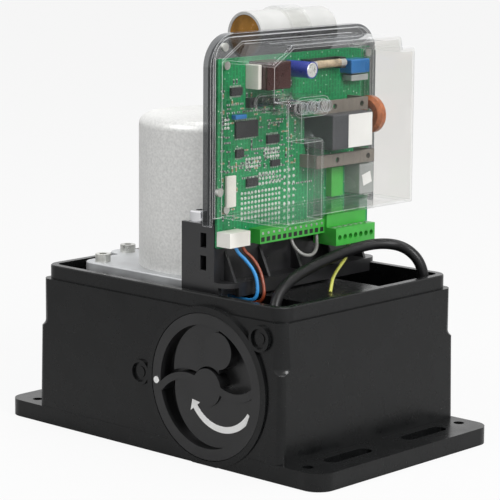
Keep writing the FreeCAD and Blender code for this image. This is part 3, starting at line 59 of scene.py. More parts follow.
def low(node):
    """Lowest corner of a CAD node, in millimetres."""
    return Vector(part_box(node)[0]) / MM


def high(node):
    """Highest corner of a CAD node, in millimetres."""
    return Vector(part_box(node)[1]) / MM


BOARD_FACE = high("circuit_board").x
KNOB = (low("release_knob") + high("release_knob")) / 2
KNOB_FACE = low("release_knob").y


# ---------------------------------------------------------------- camera
# fitted to the photograph
CAMERA_ANGLES = (42.813, 9.494, 0.430)  # azimuth, elevation and roll, in degrees
CAMERA_TARGET, CAMERA_DISTANCE = (0, 0, 0.1338), 1.44024
SENSOR_WIDTH, LENS, LENS_SHIFT = 36, 161.62, (0.0081, -0.0511)
CLIP_RANGE = (0.1, 20)


def camera():
    azimuth, elevation, roll = (math.radians(angle) for angle in CAMERA_ANGLES)
    back = Vector((math.sin(azimuth) * math.cos(elevation), -math.cos(azimuth) * math.cos(elevation),
                   math.sin(elevation)))
    level = (-back).cross(Vector((0, 0, 1))).normalized()
    upright = level.cross(-back)
    right = level * math.cos(roll) + upright * math.sin(roll)
    up = upright * math.cos(roll) - level * math.sin(roll)
    data = bpy.data.cameras.new("camera")
    data.sensor_width = SENSOR_WIDTH
    data.lens = LENS
    data.shift_x, data.shift_y = LENS_SHIFT
    data.clip_start, data.clip_end = CLIP_RANGE
    obj = bpy.data.objects.new("camera", data)
    bpy.context.scene.collection.objects.link(obj)
    turn = Matrix((right, up, back)).transposed().to_4x4()
    place = Vector(CAMERA_TARGET) + back * CAMERA_DISTANCE
    obj.matrix_world = Matrix.Translation(place) @ turn
    bpy.context.scene.camera = obj


# ---------------------------------------------------------------- materials
LOW_PATCH, HIGH_PATCH = 0.3, 0.7  # noise values where a patch is wholly dark or wholly light
COAT_ROUGHNESS, GRAIN_STRENGTH = 0.12, 0.35
# The bend tint and roughness on the next line are the pale lit surface that paints a highlight along the
# clear sheets' bends.
MIRROR_TINT, BEND_HIGHLIGHT_TINT, BEND_HIGHLIGHT_ROUGHNESS = (0.95, 0.97, 1.0, 1), (0.93, 0.94, 0.95, 1), 0.2
FACING_POWER = 4.5  # keeps the mirror share low until the sheet is seen nearly edge on
# The bend constants find where a clear sheet gets its painted highlight: full where the cosine falls to
# BEND_FULL, none above BEND_NONE.
BEND_RADIUS, BEND_SAMPLES = 0.7, 6
BEND_FULL, BEND_NONE = 0.80, 0.985  # cosine between the rounded and the flat normal
TRACK_SCALE, TRACK_GAP, TRACK_SHARE = 90, 0.03, 0.8
TRACK_TINTS = ((1, 1, 1, 1), (0.72, 0.85, 0.75, 1), (1.7, 1.5, 1.4, 1))  # two bricks and the gap between
HOLE_SCALE, HOLE_EDGE, HOLE_TINT = 260, (0.10, 0.14), (0.55, 0.62, 0.55, 1)


def link(tree, source, output, target, socket):
    tree.links.new(source.outputs[output], target.inputs[socket])


def noise(tree, scale, detail=4.0, stretch=(1, 1, 1)):
    """Noise in the piece's own space, one unit a metre."""
    space = tree.nodes.new("ShaderNodeTexCoord")
    mapping = tree.nodes.new("ShaderNodeMapping")
    mapping.inputs["Scale"].default_value = stretch
    texture = tree.nodes.new("ShaderNodeTexNoise")
    texture.inputs["Scale"].default_value = scale
    texture.inputs["Detail"].default_value = detail
    link(tree, space, "Object", mapping, "Vector")
    link(tree, mapping, "Vector", texture, "Vector")
    return texture


def ramp(tree, source, output, stops):
    node = tree.nodes.new("ShaderNodeValToRGB")
    points = node.color_ramp.elements
    while len(points) < len(stops):
        points.new(0.5)
    for point, (place, colour) in zip(points, stops):
        point.position = place
        point.color = (*colour, 1)
    link(tree, source, output, node, "Fac")
    return node


def shade(colour, factor):
    return tuple(min(1.0, part * factor) for part in colour)


def surface(name, colour, roughness, metallic=0.0, mottle=0.12, mottle_scale=60, grain=900,
            grain_depth=0.02, rough_spread=0.08, stretch=(1, 1, 1), coat=0.0, specular=0.5):
    """A painted, cast or moulded surface: mottled colour, uneven gloss and a fine grain in relief."""
    material = bpy.data.materials.new(name)
    material.use_nodes = True
    tree = material.node_tree
    shader = tree.nodes["Principled BSDF"]
    shader.inputs["Metallic"].default_value = metallic
    shader.inputs["Coat Weight"].default_value = coat
    shader.inputs["Coat Roughness"].default_value = COAT_ROUGHNESS
    shader.inputs["Specular IOR Level"].default_value = specular
    patches = noise(tree, mottle_scale, 5.0, stretch)
    tint = ramp(tree, patches, "Fac", [(LOW_PATCH, shade(colour, 1 - mottle)),
                                       (HIGH_PATCH, shade(colour, 1 + mottle))])
    link(tree, tint, "Color", shader, "Base Color")
    gloss = ramp(tree, patches, "Fac", [(LOW_PATCH, (roughness - rough_spread,) * 3),
                                        (HIGH_PATCH, (roughness + rough_spread,) * 3)])
    link(tree, gloss, "Color", shader, "Roughness")
    relief = tree.nodes.new("ShaderNodeBump")
    relief.inputs["Strength"].default_value = GRAIN_STRENGTH
    relief.inputs["Distance"].default_value = grain_depth * MM
    link(tree, noise(tree, grain, 3.0, stretch), "Fac", relief, "Height")
    link(tree, relief, "Normal", shader, "Normal")
    return material


def clear_sheet(name, tint, edge_share, face_share, roughness=0.05, bend_highlight_strength=0.7):
    """Thin clear plastic: lets light through, mirrors more of it seen edge on, and carries a painted
    highlight along its bends.
    """
    material = bpy.data.materials.new(name)
    material.use_nodes = True
    tree = material.node_tree
    mirror = tree.nodes["Principled BSDF"]
    mirror.inputs["Metallic"].default_value = 1.0
    smears = ramp(tree, noise(tree, 25), "Fac", [(LOW_PATCH, (roughness * 0.6,) * 3),
                                                 (HIGH_PATCH, (roughness * 1.6,) * 3)])
    link(tree, smears, "Color", mirror, "Roughness")
    mirror.inputs["Base Color"].default_value = MIRROR_TINT
    through = tree.nodes.new("ShaderNodeBsdfTransparent")
    through.inputs["Color"].default_value = (*tint, 1)
    weight = tree.nodes.new("ShaderNodeLayerWeight")
    weight.inputs["Blend"].default_value = 0.5
    rise = tree.nodes.new("ShaderNodeMath")
    rise.operation = "POWER"
    rise.inputs[1].default_value = FACING_POWER
    link(tree, weight, "Facing", rise, 0)
    share = tree.nodes.new("ShaderNodeMapRange")
    share.inputs["To Min"].default_value = face_share
    share.inputs["To Max"].default_value = edge_share
    link(tree, rise, "Value", share, "Value")
    mixed = tree.nodes.new("ShaderNodeMixShader")
    link(tree, share, "Result", mixed, "Fac")
    tree.links.new(through.outputs[0], mixed.inputs[1])
    tree.links.new(mirror.outputs[0], mixed.inputs[2])
    # Painted highlight: where the rounded normal leaves the flat one, a pale lit surface is mixed in along
    # the bends.
    edge = tree.nodes.new("ShaderNodeBevel")
    edge.samples = BEND_SAMPLES
    edge.inputs["Radius"].default_value = BEND_RADIUS * MM
    flat = tree.nodes.new("ShaderNodeNewGeometry")
    same = tree.nodes.new("ShaderNodeVectorMath")
    same.operation = "DOT_PRODUCT"
    link(tree, edge, "Normal", same, 0)
    link(tree, flat, "Normal", same, 1)
    bend_highlight_share = ramp(tree, same, "Value", [(BEND_FULL, (bend_highlight_strength,) * 3), (BEND_NONE, (0, 0, 0))])
    painted_bend_highlight = tree.nodes.new("ShaderNodeBsdfPrincipled")
    painted_bend_highlight.inputs["Base Color"].default_value = BEND_HIGHLIGHT_TINT
    painted_bend_highlight.inputs["Roughness"].default_value = BEND_HIGHLIGHT_ROUGHNESS
    with_bend_highlight = tree.nodes.new("ShaderNodeMixShader")
    link(tree, bend_highlight_share, "Color", with_bend_highlight, "Fac")
    tree.links.new(mixed.outputs[0], with_bend_highlight.inputs[1])
    tree.links.new(painted_bend_highlight.outputs[0], with_bend_highlight.inputs[2])
    tree.links.new(with_bend_highlight.outputs[0], tree.nodes["Material Output"].inputs["Surface"])
    return material


def board_laminate():
    """Green solder mask with paler tracks and tinned holes."""
    material = surface("board_laminate", (0.006, 0.20, 0.07), 0.34, mottle=0.25, mottle_scale=35,
                       grain=500, coat=0.1)
    tree = material.node_tree
    shader = tree.nodes["Principled BSDF"]
    base = shader.inputs["Base Color"].links[0].from_socket
    space = tree.nodes.new("ShaderNodeTexCoord")
    turn = tree.nodes.new("ShaderNodeMapping")
    turn.inputs["Rotation"].default_value = (0, math.pi / 2, 0)
    link(tree, space, "Object", turn, "Vector")
    tracks = tree.nodes.new("ShaderNodeTexBrick")
    tracks.inputs["Scale"].default_value = TRACK_SCALE
    tracks.inputs["Mortar Size"].default_value = TRACK_GAP
    for socket, tint in zip(("Color1", "Color2", "Mortar"), TRACK_TINTS):
        tracks.inputs[socket].default_value = tint
    link(tree, turn, "Vector", tracks, "Vector")
    layered = tree.nodes.new("ShaderNodeMix")
    layered.data_type = "RGBA"
    layered.blend_type = "MULTIPLY"
    layered.inputs["Factor"].default_value = TRACK_SHARE
    tree.links.new(base, layered.inputs[6])
    tree.links.new(tracks.outputs["Color"], layered.inputs[7])
    holes = tree.nodes.new("ShaderNodeTexVoronoi")
    holes.inputs["Scale"].default_value = HOLE_SCALE
    link(tree, space, "Object", holes, "Vector")
    rings = ramp(tree, holes, "Distance", [(HOLE_EDGE[0], (1, 1, 1)), (HOLE_EDGE[1], (0, 0, 0))])
    dotted = tree.nodes.new("ShaderNodeMix")
    dotted.data_type = "RGBA"
    link(tree, rings, "Color", dotted, 0)
    tree.links.new(layered.outputs[2], dotted.inputs[6])
    dotted.inputs[7].default_value = HOLE_TINT
    tree.links.new(dotted.outputs[2], shader.inputs["Base Color"])
    return material


def materials():
    """One material for each slot of the record, and a few for the pieces added here."""
    plastic = {"grain": 1500, "grain_depth": 0.01}
    return {
        "black_paint": surface("black_paint", (0.0045, 0.0048, 0.005), 0.27, mottle=0.2, grain=420,
                               grain_depth=0.05, coat=0.06, rough_spread=0.05, specular=0.24),
        "cast_aluminium": surface("cast_aluminium", (0.50, 0.51, 0.52), 0.5, 0.8, grain=700,
                                  grain_depth=0.06),
        "motor_aluminium": surface("motor_aluminium", (0.72, 0.72, 0.705), 0.45, 0.4, mottle=0.11,
                                   mottle_scale=650, grain=1100, grain_depth=0.12),
        "lamination": surface("lamination", (0.12, 0.12, 0.13), 0.5, 0.8, stretch=(1, 1, 40)),
        "copper_enamel": surface("copper_enamel", (0.45, 0.16, 0.05), 0.3, 0.4, stretch=(1, 1, 12)),
        "steel": surface("steel", (0.50, 0.50, 0.51), 0.3, 1.0, mottle=0.06, stretch=(8, 1, 8)),
        "zinc_steel": surface("zinc_steel", (0.60, 0.60, 0.57), 0.34, 1.0, mottle=0.12, mottle_scale=200),
        "chrome_steel": surface("chrome_steel", (0.78, 0.78, 0.80), 0.14, 1.0, mottle=0.04,
                                rough_spread=0.04),
        "bronze": surface("bronze", (0.50, 0.33, 0.12), 0.35, 1.0),
        "seal_rubber": surface("seal_rubber", (0.015, 0.015, 0.016), 0.6, **plastic),
        "knob_plastic": surface("knob_plastic", (0.0085, 0.0085, 0.009), 0.34, mottle=0.2, grain=900,
                                grain_depth=0.03, coat=0.1, specular=0.4),
        "acetal": surface("acetal", (0.80, 0.79, 0.75), 0.4, **plastic),
        "bracket_plastic": surface("bracket_plastic", (0.012, 0.012, 0.013), 0.33, coat=0.2, **plastic),
        # The sixth number of the smoked sheet sets the strength of its painted bend highlight.
        "smoked_plastic": clear_sheet("smoked_plastic", (0.45, 0.455, 0.46), 0.85, 0.05, 0.05, 0.6),
        "clear_plastic": clear_sheet("clear_plastic", (0.955, 0.951, 0.943), 0.85, 0.022, 0.035),
        "button_clear": clear_sheet("button_clear", (0.93, 0.94, 0.95), 0.9, 0.09),
        "board_green": board_laminate(),
        "relay_shell": surface("relay_shell", (0.04, 0.008, 0.006), 0.3, coat=0.3, **plastic),
        "blue_coating": surface("blue_coating", (0.012, 0.13, 0.36), 0.3, coat=0.4, **plastic),
        "transformer_shell": surface("transformer_shell", (0.05, 0.052, 0.058), 0.45, **plastic),
        "clear_relay_shell": surface("clear_relay_shell", (0.34, 0.36, 0.35), 0.25, coat=0.3, **plastic),
        "capacitor_sleeve": surface("capacitor_sleeve", (0.03, 0.05, 0.35), 0.25, coat=0.4, **plastic),
        "fuse_glass": surface("fuse_glass", (0.42, 0.33, 0.22), 0.2, mottle=0.4, mottle_scale=150,
                              coat=0.5, **plastic),
        "holder_black": surface("holder_black", (0.02, 0.02, 0.02), 0.4, **plastic),
        "sink_aluminium": surface("sink_aluminium", (0.20, 0.18, 0.155), 0.5, 0.3, stretch=(1, 8, 1)),
        "coil_orange": surface("coil_orange", (0.36, 0.105, 0.03), 0.35, mottle=0.3,
                               mottle_scale=500, coat=0.3),
        "switch_black": surface("switch_black", (0.03, 0.03, 0.032), 0.4, **plastic),
        "terminal_green": surface("terminal_green", (0.045, 0.37, 0.045), 0.36, mottle=0.08,
                                  coat=0.2, **plastic),
        "socket_white": surface("socket_white", (0.74, 0.73, 0.68), 0.4, mottle=0.05, **plastic),
        "can_shell": surface("can_shell", (0.43, 0.43, 0.42), 0.36, mottle=0.04, coat=0.3, **plastic),
        "potting_brown": surface("potting_brown", (0.27, 0.12, 0.008), 0.22, mottle=0.3,
                                 mottle_scale=120, coat=0.6),
        "clip_plastic": clear_sheet("clip_plastic", (0.96, 0.96, 0.95), 0.8, 0.03),
        "cable_black": surface("cable_black", (0.006, 0.006, 0.0065), 0.42, specular=0.25, **plastic),
        "lead_blue": surface("lead_blue", (0.035, 0.26, 0.60), 0.35, coat=0.2, **plastic),
        "lead_brown": surface("lead_brown", (0.24, 0.045, 0.015), 0.35, coat=0.2, **plastic),
        "lead_earth": surface("lead_earth", (0.46, 0.47, 0.08), 0.35, coat=0.2, **plastic),
        "lead_grey": surface("lead_grey", (0.22, 0.22, 0.21), 0.4, coat=0.2, **plastic),
        "white_print": surface("white_print", (0.78, 0.78, 0.77), 0.5, mottle=0.03, **plastic),
        "solder": surface("solder", (0.66, 0.67, 0.65), 0.3, 0.45, mottle=0.15, mottle_scale=400),
        "chip_black": surface("chip_black", (0.018, 0.018, 0.02), 0.45, mottle=0.15, **plastic),
        "resistor_ceramic": surface("resistor_ceramic", (0.10, 0.10, 0.11), 0.4, mottle=0.3,
                                    mottle_scale=700),
        "capacitor_ceramic": surface("capacitor_ceramic", (0.36, 0.26, 0.15), 0.4, mottle=0.3,
                                     mottle_scale=700),
        # slot_dark colours the painted shade of the terminal blocks' wire mouths.
        "slot_dark": surface("slot_dark", (0.006, 0.006, 0.007), 0.6, **plastic),
    }


def dress_frame(finish):
    """Give every CAD node the material of its slot."""
    for part in frame["record"]["subparts"]:
        obj = nodes[part["node"]]
        for slot in obj.material_slots:
            slot.material = finish[part["material_slot"]]


# ---------------------------------------------------------------- cords
CORD_ORDER, CORD_STEPS, CORD_ROUNDNESS = 3, 16, 5
CORDS = {
    # name: CAD node, material slot, radius, length along the CAD tube, stiffness, route from end to end
    "mains_cable": ("power_cable", "cable_black", 3.5, 341.8, "medium",
                    [(85, -55, 4), (85, -55, 22), (84, -56, 42), (81, -57, 62), (76, -56, 83), (71, -51, 102),
                     (70, -35, 112.3), (66, -12.5, 116), (65, 6.2, 119.1), (66, 22.6, 122.1), (70, 42, 124.8),
                     (77, 55.8, 124), (86, 60.5, 120.5), (92, 65, 112), (93.5, 67.5, 98), (94, 68.5, 78),
                     (93.4, 67, 58), (94, 68.5, 39), (93.6, 67.5, 21), (93.6, 67.5, 4)]),
    "blue_wire": ("blue_lead", "lead_blue", 1.1, 63.6, "limp",
                  [(48.3, -62, 138.5), (48.3, -62, 131), (52, -55.5, 124.5), (56.5, -50.5, 114.5),
                   (58.5, -52, 99.6), (44.6, -53.2, 99.3), (35.7, -54, 100.2)]),
    "brown_wire": ("brown_lead", "lead_brown", 1.1, 67.7, "limp",
                   [(48.3, -56.2, 138.5), (48.3, -56.2, 131), (53, -49.5, 124.5), (57.5, -46.5, 113.5),
                    (61, -48.2, 99), (46, -49.6, 95.6), (35.7, -50, 99.4)]),
    "earth_wire": ("earth_lead", "lead_earth", 1.1, 64.4, "limp",
                   [(55.8, 37, 132), (55.8, 37, 124), (58, 32, 116), (62.5, 19, 111.5), (69, 6.5, 108.5),
                    (75, -2, 107), (78, -7, 101.3)]),
    "grey_wire": ("grey_lead", "lead_grey", 1.1, 55.4, "limp",
                  [(46.5, 15.5, 138.5), (46.5, 15.5, 130), (52, 10, 123), (56, -0.5, 120.3),
                   (53.5, -8, 122.5), (46.5, -9.5, 130), (46.5, -9.5, 138.5)]),
}


def cords(finish):
    for name, (node, slot, radius, length, stiffness, route) in CORDS.items():
        data = bpy.data.curves.new(name, "CURVE")
        data.dimensions = "3D"
        data.bevel_depth = radius * MM
        data.bevel_resolution = CORD_ROUNDNESS
        data.resolution_u = CORD_STEPS
        data.use_fill_caps = True
        line = data.splines.new("NURBS")
        line.points.add(len(route) - 1)
        for point, place in zip(line.points, route):
            point.co = (*(Vector(place) * MM), 1)
        line.order_u = CORD_ORDER
        line.use_endpoint_u = True
        obj = bpy.data.objects.new(name, data)
        bpy.context.scene.collection.objects.link(obj)
        data.materials.append(finish[slot])
        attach(obj, "housing")
        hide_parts(node)


# ---------------------------------------------------------------- mesh helpers
def add_box(mesh, corner, opposite):
    """A box between two corners given in millimetres."""
    made = bmesh.ops.create_cube(mesh, size=1)
    size = Vector(opposite) - Vector(corner)
    middle = (Vector(opposite) + Vector(corner)) / 2
    for vertex in made["verts"]:
        vertex.co = Vector(a * b for a, b in zip(vertex.co, size)) + middle


def add_disc(mesh, centre, axis, radius, length, sides=24, tip=None):
    """A round bar, or a cone with a tip radius, from its base centre along an axis."""
    turn = Vector((0, 0, 1)).rotation_difference(Vector(axis)).to_matrix().to_4x4()
    shift = Matrix.Translation(Vector(centre) + Vector(axis) * length / 2)
    bmesh.ops.create_cone(mesh, cap_ends=True, segments=sides, radius1=radius,
                          radius2=radius if tip is None else tip, depth=length, matrix=shift @ turn)


def piece(name, mesh, material, body, bevel=0.15):
    """Turn a mesh in millimetres into a named piece on a body, its edges softened unless bevel is 0."""
    data = bpy.data.meshes.new(name)
    bmesh.ops.scale(mesh, vec=(MM, MM, MM), verts=mesh.verts)
    bmesh.ops.recalc_face_normals(mesh, faces=mesh.faces)
    mesh.to_mesh(data)
    mesh.free()
    obj = bpy.data.objects.new(name, data)
    bpy.context.scene.collection.objects.link(obj)
    data.materials.append(material)
    if bevel:
        softened = obj.modifiers.new("soft_edges", "BEVEL")
        softened.width = bevel * MM
        softened.segments = 2
        softened.limit_method = "ANGLE"
    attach(obj, body)
    return obj


# ---------------------------------------------------------------- parts on the board
CHIP_LIFT, CHIP_TOP = 0.2, 1.9
LEG_REACH, LEG_HALF_WIDTH, LEG_DEPTH = 1.1, 0.25, 0.5
CHIPS = {
    # name: across low, across high, height low, height high, legs on each long side
    "chip_upper": (-60.8, -50.8, 224.4, 229.4, 8), "chip_centre": (-56.2, -36.6, 198.2, 208.4, 12),
    "chip_right": (-28, -16.9, 192.5, 197.8, 8), "chip_left": (-55.8, -49, 186.3, 191.3, 5),
    "chip_lower": (-46, -36, 167.5, 172.5, 7), "chip_memory": (-24, -16, 178, 182, 4),
}


def chips(finish):
    for name, (left, right, bottom, top, legs) in CHIPS.items():
        body = bmesh.new()
        add_box(body, (BOARD_FACE + CHIP_LIFT, left, bottom), (BOARD_FACE + CHIP_TOP, right, top))
        piece(name, body, finish["chip_black"], "housing", 0.2)
        pins = bmesh.new()
        for step in range(legs):
            middle = left + (right - left) * (step + 0.5) / legs
            for near, far in ((bottom - LEG_REACH, bottom), (top, top + LEG_REACH)):
                add_box(pins, (BOARD_FACE, middle - LEG_HALF_WIDTH, near),
                        (BOARD_FACE + LEG_DEPTH, middle + LEG_HALF_WIDTH, far))
        piece(name + "_pins", pins, finish["solder"], "housing", 0)


RESISTOR_ROWS = (
    # first across, height, count, pitch
    (-62, 214, 5, 4.6), (-48, 214, 7, 3.6), (-60, 181, 6, 3.2), (-24, 205, 4, 3.4), (-40, 190, 5, 3.4),
    (-48, 173, 9, 3.4), (-64, 196, 2, 3), (-22, 169, 4, 3.4), (-62, 219, 4, 4), (-2, 165, 5, 4),
)
RESISTOR_HALF, RESISTOR_DEPTH = (0.6, 0.5), 0.6
END_REACH, END_HALF, END_DEPTH = 0.85, (0.3, 0.55), 0.5


def small_parts(finish):
    """Rows of tiny resistors, with their solder ends."""
    bodies, ends = bmesh.new(), bmesh.new()
    for left, height, count, pitch in RESISTOR_ROWS:
        for step in range(count):
            across = left + step * pitch
            add_box(bodies, (BOARD_FACE, across - RESISTOR_HALF[0], height - RESISTOR_HALF[1]),
                    (BOARD_FACE + RESISTOR_DEPTH, across + RESISTOR_HALF[0], height + RESISTOR_HALF[1]))
            for side in (-1, 1):
                end = across + side * END_REACH
                add_box(ends, (BOARD_FACE, end - END_HALF[0], height - END_HALF[1]),
                        (BOARD_FACE + END_DEPTH, end + END_HALF[0], height + END_HALF[1]))
    piece("small_resistors", bodies, finish["resistor_ceramic"], "housing", 0.08)
    piece("small_resistor_ends", ends, finish["solder"], "housing", 0)


SCATTER_SEED = 11
GRID_LEFT, GRID_BOTTOM, GRID_PITCH, GRID_JITTER = -66, 150, 4.1, 1
GRID_COLUMNS, GRID_ROWS = 17, 21
EMPTY_SHARE, UPRIGHT_SHARE, DARK_SHARE = 0.35, 0.5, 0.6
PART_SHORT, PART_LONG, PART_DEPTH = 0.5, 0.9, 0.6
JOINT_REACH, JOINT_HALF = 1.1, 0.45
CHIP_MARGIN = (2, 3)  # across and up
KEPT_CLEAR = (
    # across low, across high, height low, height high
    (-66, -54, 155, 178), (-61, -47, 208, 215), (-50, 3, 146, 177), (-50, -22, 224, 246),
)


def scattered_parts(finish):
    """Small parts set out on a loose grid over the free areas of the board."""
    picks = random.Random(SCATTER_SEED)
    beside, above = CHIP_MARGIN
    taken = [(left - beside, right + beside, bottom - above, top + above)
             for left, right, bottom, top, _ in CHIPS.values()]
    taken += KEPT_CLEAR
    dark, pale, ends = bmesh.new(), bmesh.new(), bmesh.new()
    for column in range(GRID_COLUMNS):
        for row in range(GRID_ROWS):
            across = GRID_LEFT + column * GRID_PITCH + picks.uniform(-GRID_JITTER, GRID_JITTER)
            height = GRID_BOTTOM + row * GRID_PITCH + picks.uniform(-GRID_JITTER, GRID_JITTER)
            crowded = any(a < across < b and c < height < d for a, b, c, d in taken)
            if crowded or picks.random() < EMPTY_SHARE:
                continue
            upright = picks.random() < UPRIGHT_SHARE
            half = (PART_SHORT, PART_LONG) if upright else (PART_LONG, PART_SHORT)
            mesh = dark if picks.random() < DARK_SHARE else pale
            add_box(mesh, (BOARD_FACE, across - half[0], height - half[1]),
                    (BOARD_FACE + PART_DEPTH, across + half[0], height + half[1]))
            for side in (-1, 1):
                shift = (0, side * JOINT_REACH) if upright else (side * JOINT_REACH, 0)
                low_corner = (BOARD_FACE, across + shift[0] - JOINT_HALF, height + shift[1] - JOINT_HALF)
                high_corner = (BOARD_FACE + JOINT_HALF, across + shift[0] + JOINT_HALF,
                               height + shift[1] + JOINT_HALF)
                add_box(ends, low_corner, high_corner)
    piece("scattered_resistors", dark, finish["resistor_ceramic"], "housing", 0)
    piece("scattered_capacitors", pale, finish["capacitor_ceramic"], "housing", 0)
    piece("scattered_joints", ends, finish["solder"], "housing", 0)


SOLDER_FIELDS = (
    # across low, across high, height low, height high, pitch
    (-49, -13, 148, 165, 3.1), (-33, -13, 168, 176, 3.1), (-45, -31, 179.5, 186.5, 2.4),
    (-64, -60, 205, 212, 2.5), (-10, 2, 149, 176, 4.2), (-28, -14, 184, 190, 2.4),
)
DOT_BASE, DOT_TIP, DOT_HEIGHT, DOT_SIDES = 1.05, 0.55, 0.6, 10


def solder_field(finish):
    """Grids of tinned joints where plug-in parts pass through the board."""
    dots = bmesh.new()
    for left, right, bottom, top, pitch in SOLDER_FIELDS:
        for row in range(int((top - bottom) / pitch) + 1):
            for column in range(int((right - left) / pitch) + 1):
                centre = (BOARD_FACE, left + column * pitch, bottom + row * pitch)
                add_disc(dots, centre, (1, 0, 0), DOT_BASE, DOT_HEIGHT, DOT_SIDES, DOT_TIP)
    piece("solder_joints", dots, finish["solder"], "housing", 0)


BLOCKS = {
    # name: material slot, across, height, depth off the board
    "input_socket": ("socket_white", (-64.6, -56.2), (156.5, 175.9), 2.2),
    "trimmer": ("blue_coating", (-58.9, -49.1), (210.1, 212.9), 4),
    "grey_block": ("clear_relay_shell", (43.8, 60.4), (226.6, 230.5), 8),
    "green_block": ("terminal_green", (29.3, 40.5), (153.6, 172.5), 5),
    "relay_side": ("socket_white", (-46.8, -43.8), (228, 243), 11),
}
LABEL_ACROSS, LABEL_HEIGHT, LABEL_DEPTH = (22.6, 45.5), (187.6, 208.4), 0.15
TAG_HALF, TAG_TILT, TAG_PLACE = (0.1, 4.2, 3.6), 14, (54.3, 164)  # tilt in degrees


def loose_parts(finish):
    """The bigger parts between the CAD's own: socket, trimmer, coloured blocks and the two blank labels."""
    for name, (slot, (left, right), (bottom, top), deep) in BLOCKS.items():
        mesh = bmesh.new()
        add_box(mesh, (BOARD_FACE, left, bottom), (BOARD_FACE + deep, right, top))
        piece(name, mesh, finish[slot], "housing", 0.5)
    front = high("transformer").x
    label = bmesh.new()
    add_box(label, (front, LABEL_ACROSS[0], LABEL_HEIGHT[0]),
            (front + LABEL_DEPTH, LABEL_ACROSS[1], LABEL_HEIGHT[1]))
    piece("transformer_label", label, finish["white_print"], "housing", 0.03)
    tilted = bmesh.new()
    add_box(tilted, -Vector(TAG_HALF), TAG_HALF)
    bmesh.ops.rotate(tilted, matrix=Matrix.Rotation(math.radians(TAG_TILT), 3, "X"), verts=tilted.verts)
    bmesh.ops.translate(tilted, vec=(high("small_relay").x + TAG_HALF[0], *TAG_PLACE), verts=tilted.verts)
    piece("small_label", tilted, finish["white_print"], "housing", 0.02)


CAP_LENGTH, CAP_WALL = 5, 0.15


def fuse_caps(finish):
    """Nickel end caps of the glass fuse."""
    start, end = low("fuse"), high("fuse")
    radius = (end.z - start.z) / 2
    centre = (start + end) / 2
    caps = bmesh.new()
    for place in (start.y, end.y - CAP_LENGTH):
        add_disc(caps, (centre.x, place, centre.z), (0, 1, 0), radius + CAP_WALL, CAP_LENGTH)
    piece("fuse_caps", caps, finish["zinc_steel"], "housing", 0.1)


LID_BASE, LID_TIP, LID_HEIGHT, LID_SIDES = 4.6, 4.2, 0.25, 32
SCORE_LENGTH, SCORE_WIDTH, SCORE_DEPTHS = 6, 0.4, (0.2, 0.4)


def electrolytic(finish):
    """Bare aluminium top and scored cross of the filter capacitor."""
    top = high("filter_capacitor")
    centre = (top + low("filter_capacitor")) / 2
    lid = bmesh.new()
    add_disc(lid, (top.x, centre.y, centre.z), (1, 0, 0), LID_BASE, LID_HEIGHT, LID_SIDES, LID_TIP)
    for width, height in ((SCORE_LENGTH, SCORE_WIDTH), (SCORE_WIDTH, SCORE_LENGTH)):
        add_box(lid, (top.x + SCORE_DEPTHS[0], centre.y - width / 2, centre.z - height / 2),
                (top.x + SCORE_DEPTHS[1], centre.y + width / 2, centre.z + height / 2))
    piece("capacitor_lid", lid, finish["solder"], "housing", 0)


# ---------------------------------------------------------------- terminals
# count, first across from the block's end, and pitch
HEADER_POLES, HEADER_FIRST, HEADER_PITCH = 12, 2.5, 5
PLUG_POLES, PLUG_FIRST, PLUG_PITCH = 7, 3.6, 5.133
HEADER_SCREW_RISE, HEADER_SCREW_RADIUS = 6.4, 0.85
PLUG_SCREW_INSET, PLUG_SCREW_RISE, PLUG_SCREW_RADIUS = 5, 11, 1.6
SCREW_HEIGHT, SCREW_SIDES = 0.3, 16
# The mouth sizes below place painted shade: dark slabs on the header's face where its wire openings are.
MOUTH_SHADE_HALF_WIDTH, MOUTH_SHADE_RISE, MOUTH_SHADE_DEPTH = 1.5, (1.2, 4), 0.15


def terminals(finish):
    """Clamp screws of the green terminal blocks, and painted shade in their wire mouths: dark slabs where the
    openings are.
    """
    screws, mouth_shades = bmesh.new(), bmesh.new()
    block_low, block_high = low("terminal_header"), high("terminal_header")
    for step in range(HEADER_POLES):
        across = block_low.y + HEADER_FIRST + step * HEADER_PITCH
        add_disc(screws, (block_high.x, across, block_low.z + HEADER_SCREW_RISE), (1, 0, 0),
                 HEADER_SCREW_RADIUS, SCREW_HEIGHT, SCREW_SIDES)
        add_box(mouth_shades, (block_high.x, across - MOUTH_SHADE_HALF_WIDTH, block_low.z + MOUTH_SHADE_RISE[0]),
                (block_high.x + MOUTH_SHADE_DEPTH, across + MOUTH_SHADE_HALF_WIDTH, block_low.z + MOUTH_SHADE_RISE[1]))
    plug_low, plug_high = low("terminal_plug"), high("terminal_plug")
    for step in range(PLUG_POLES):
        across = plug_low.y + PLUG_FIRST + step * PLUG_PITCH
        add_disc(screws, (plug_high.x - PLUG_SCREW_INSET, across, plug_low.z + PLUG_SCREW_RISE), (0, 0, 1),
                 PLUG_SCREW_RADIUS, SCREW_HEIGHT, SCREW_SIDES)
    piece("clamp_screws", screws, finish["steel"], "housing", 0.05)
    # Painted shade standing in for the dark inside of the wire openings.
    piece("wire_mouth_shade", mouth_shades, finish["slot_dark"], "housing", 0)


# ---------------------------------------------------------------- knob prints
# places from the knob's middle in its front plane, angles in degrees
POINTER_ACROSS, POINTER_RISE, POINTER_RADIUS, POINTER_DEPTH = -42, -2.3, 2.2, 0.2
ARROW_CENTRE, ARROW_RADIUS, ARROW_HALF_WIDTH = (12.9, 3.26), 27.6, 2.0
ARROW_START, ARROW_END, ARROW_STEPS = -33.1, -142.6, 28
HEAD_HALF_WIDTH, HEAD_ANGLE = 5, 10
LAND_DEPTH, ARROW_DEPTH = 1, 0.25  # the arrow's land lies behind the knob's front


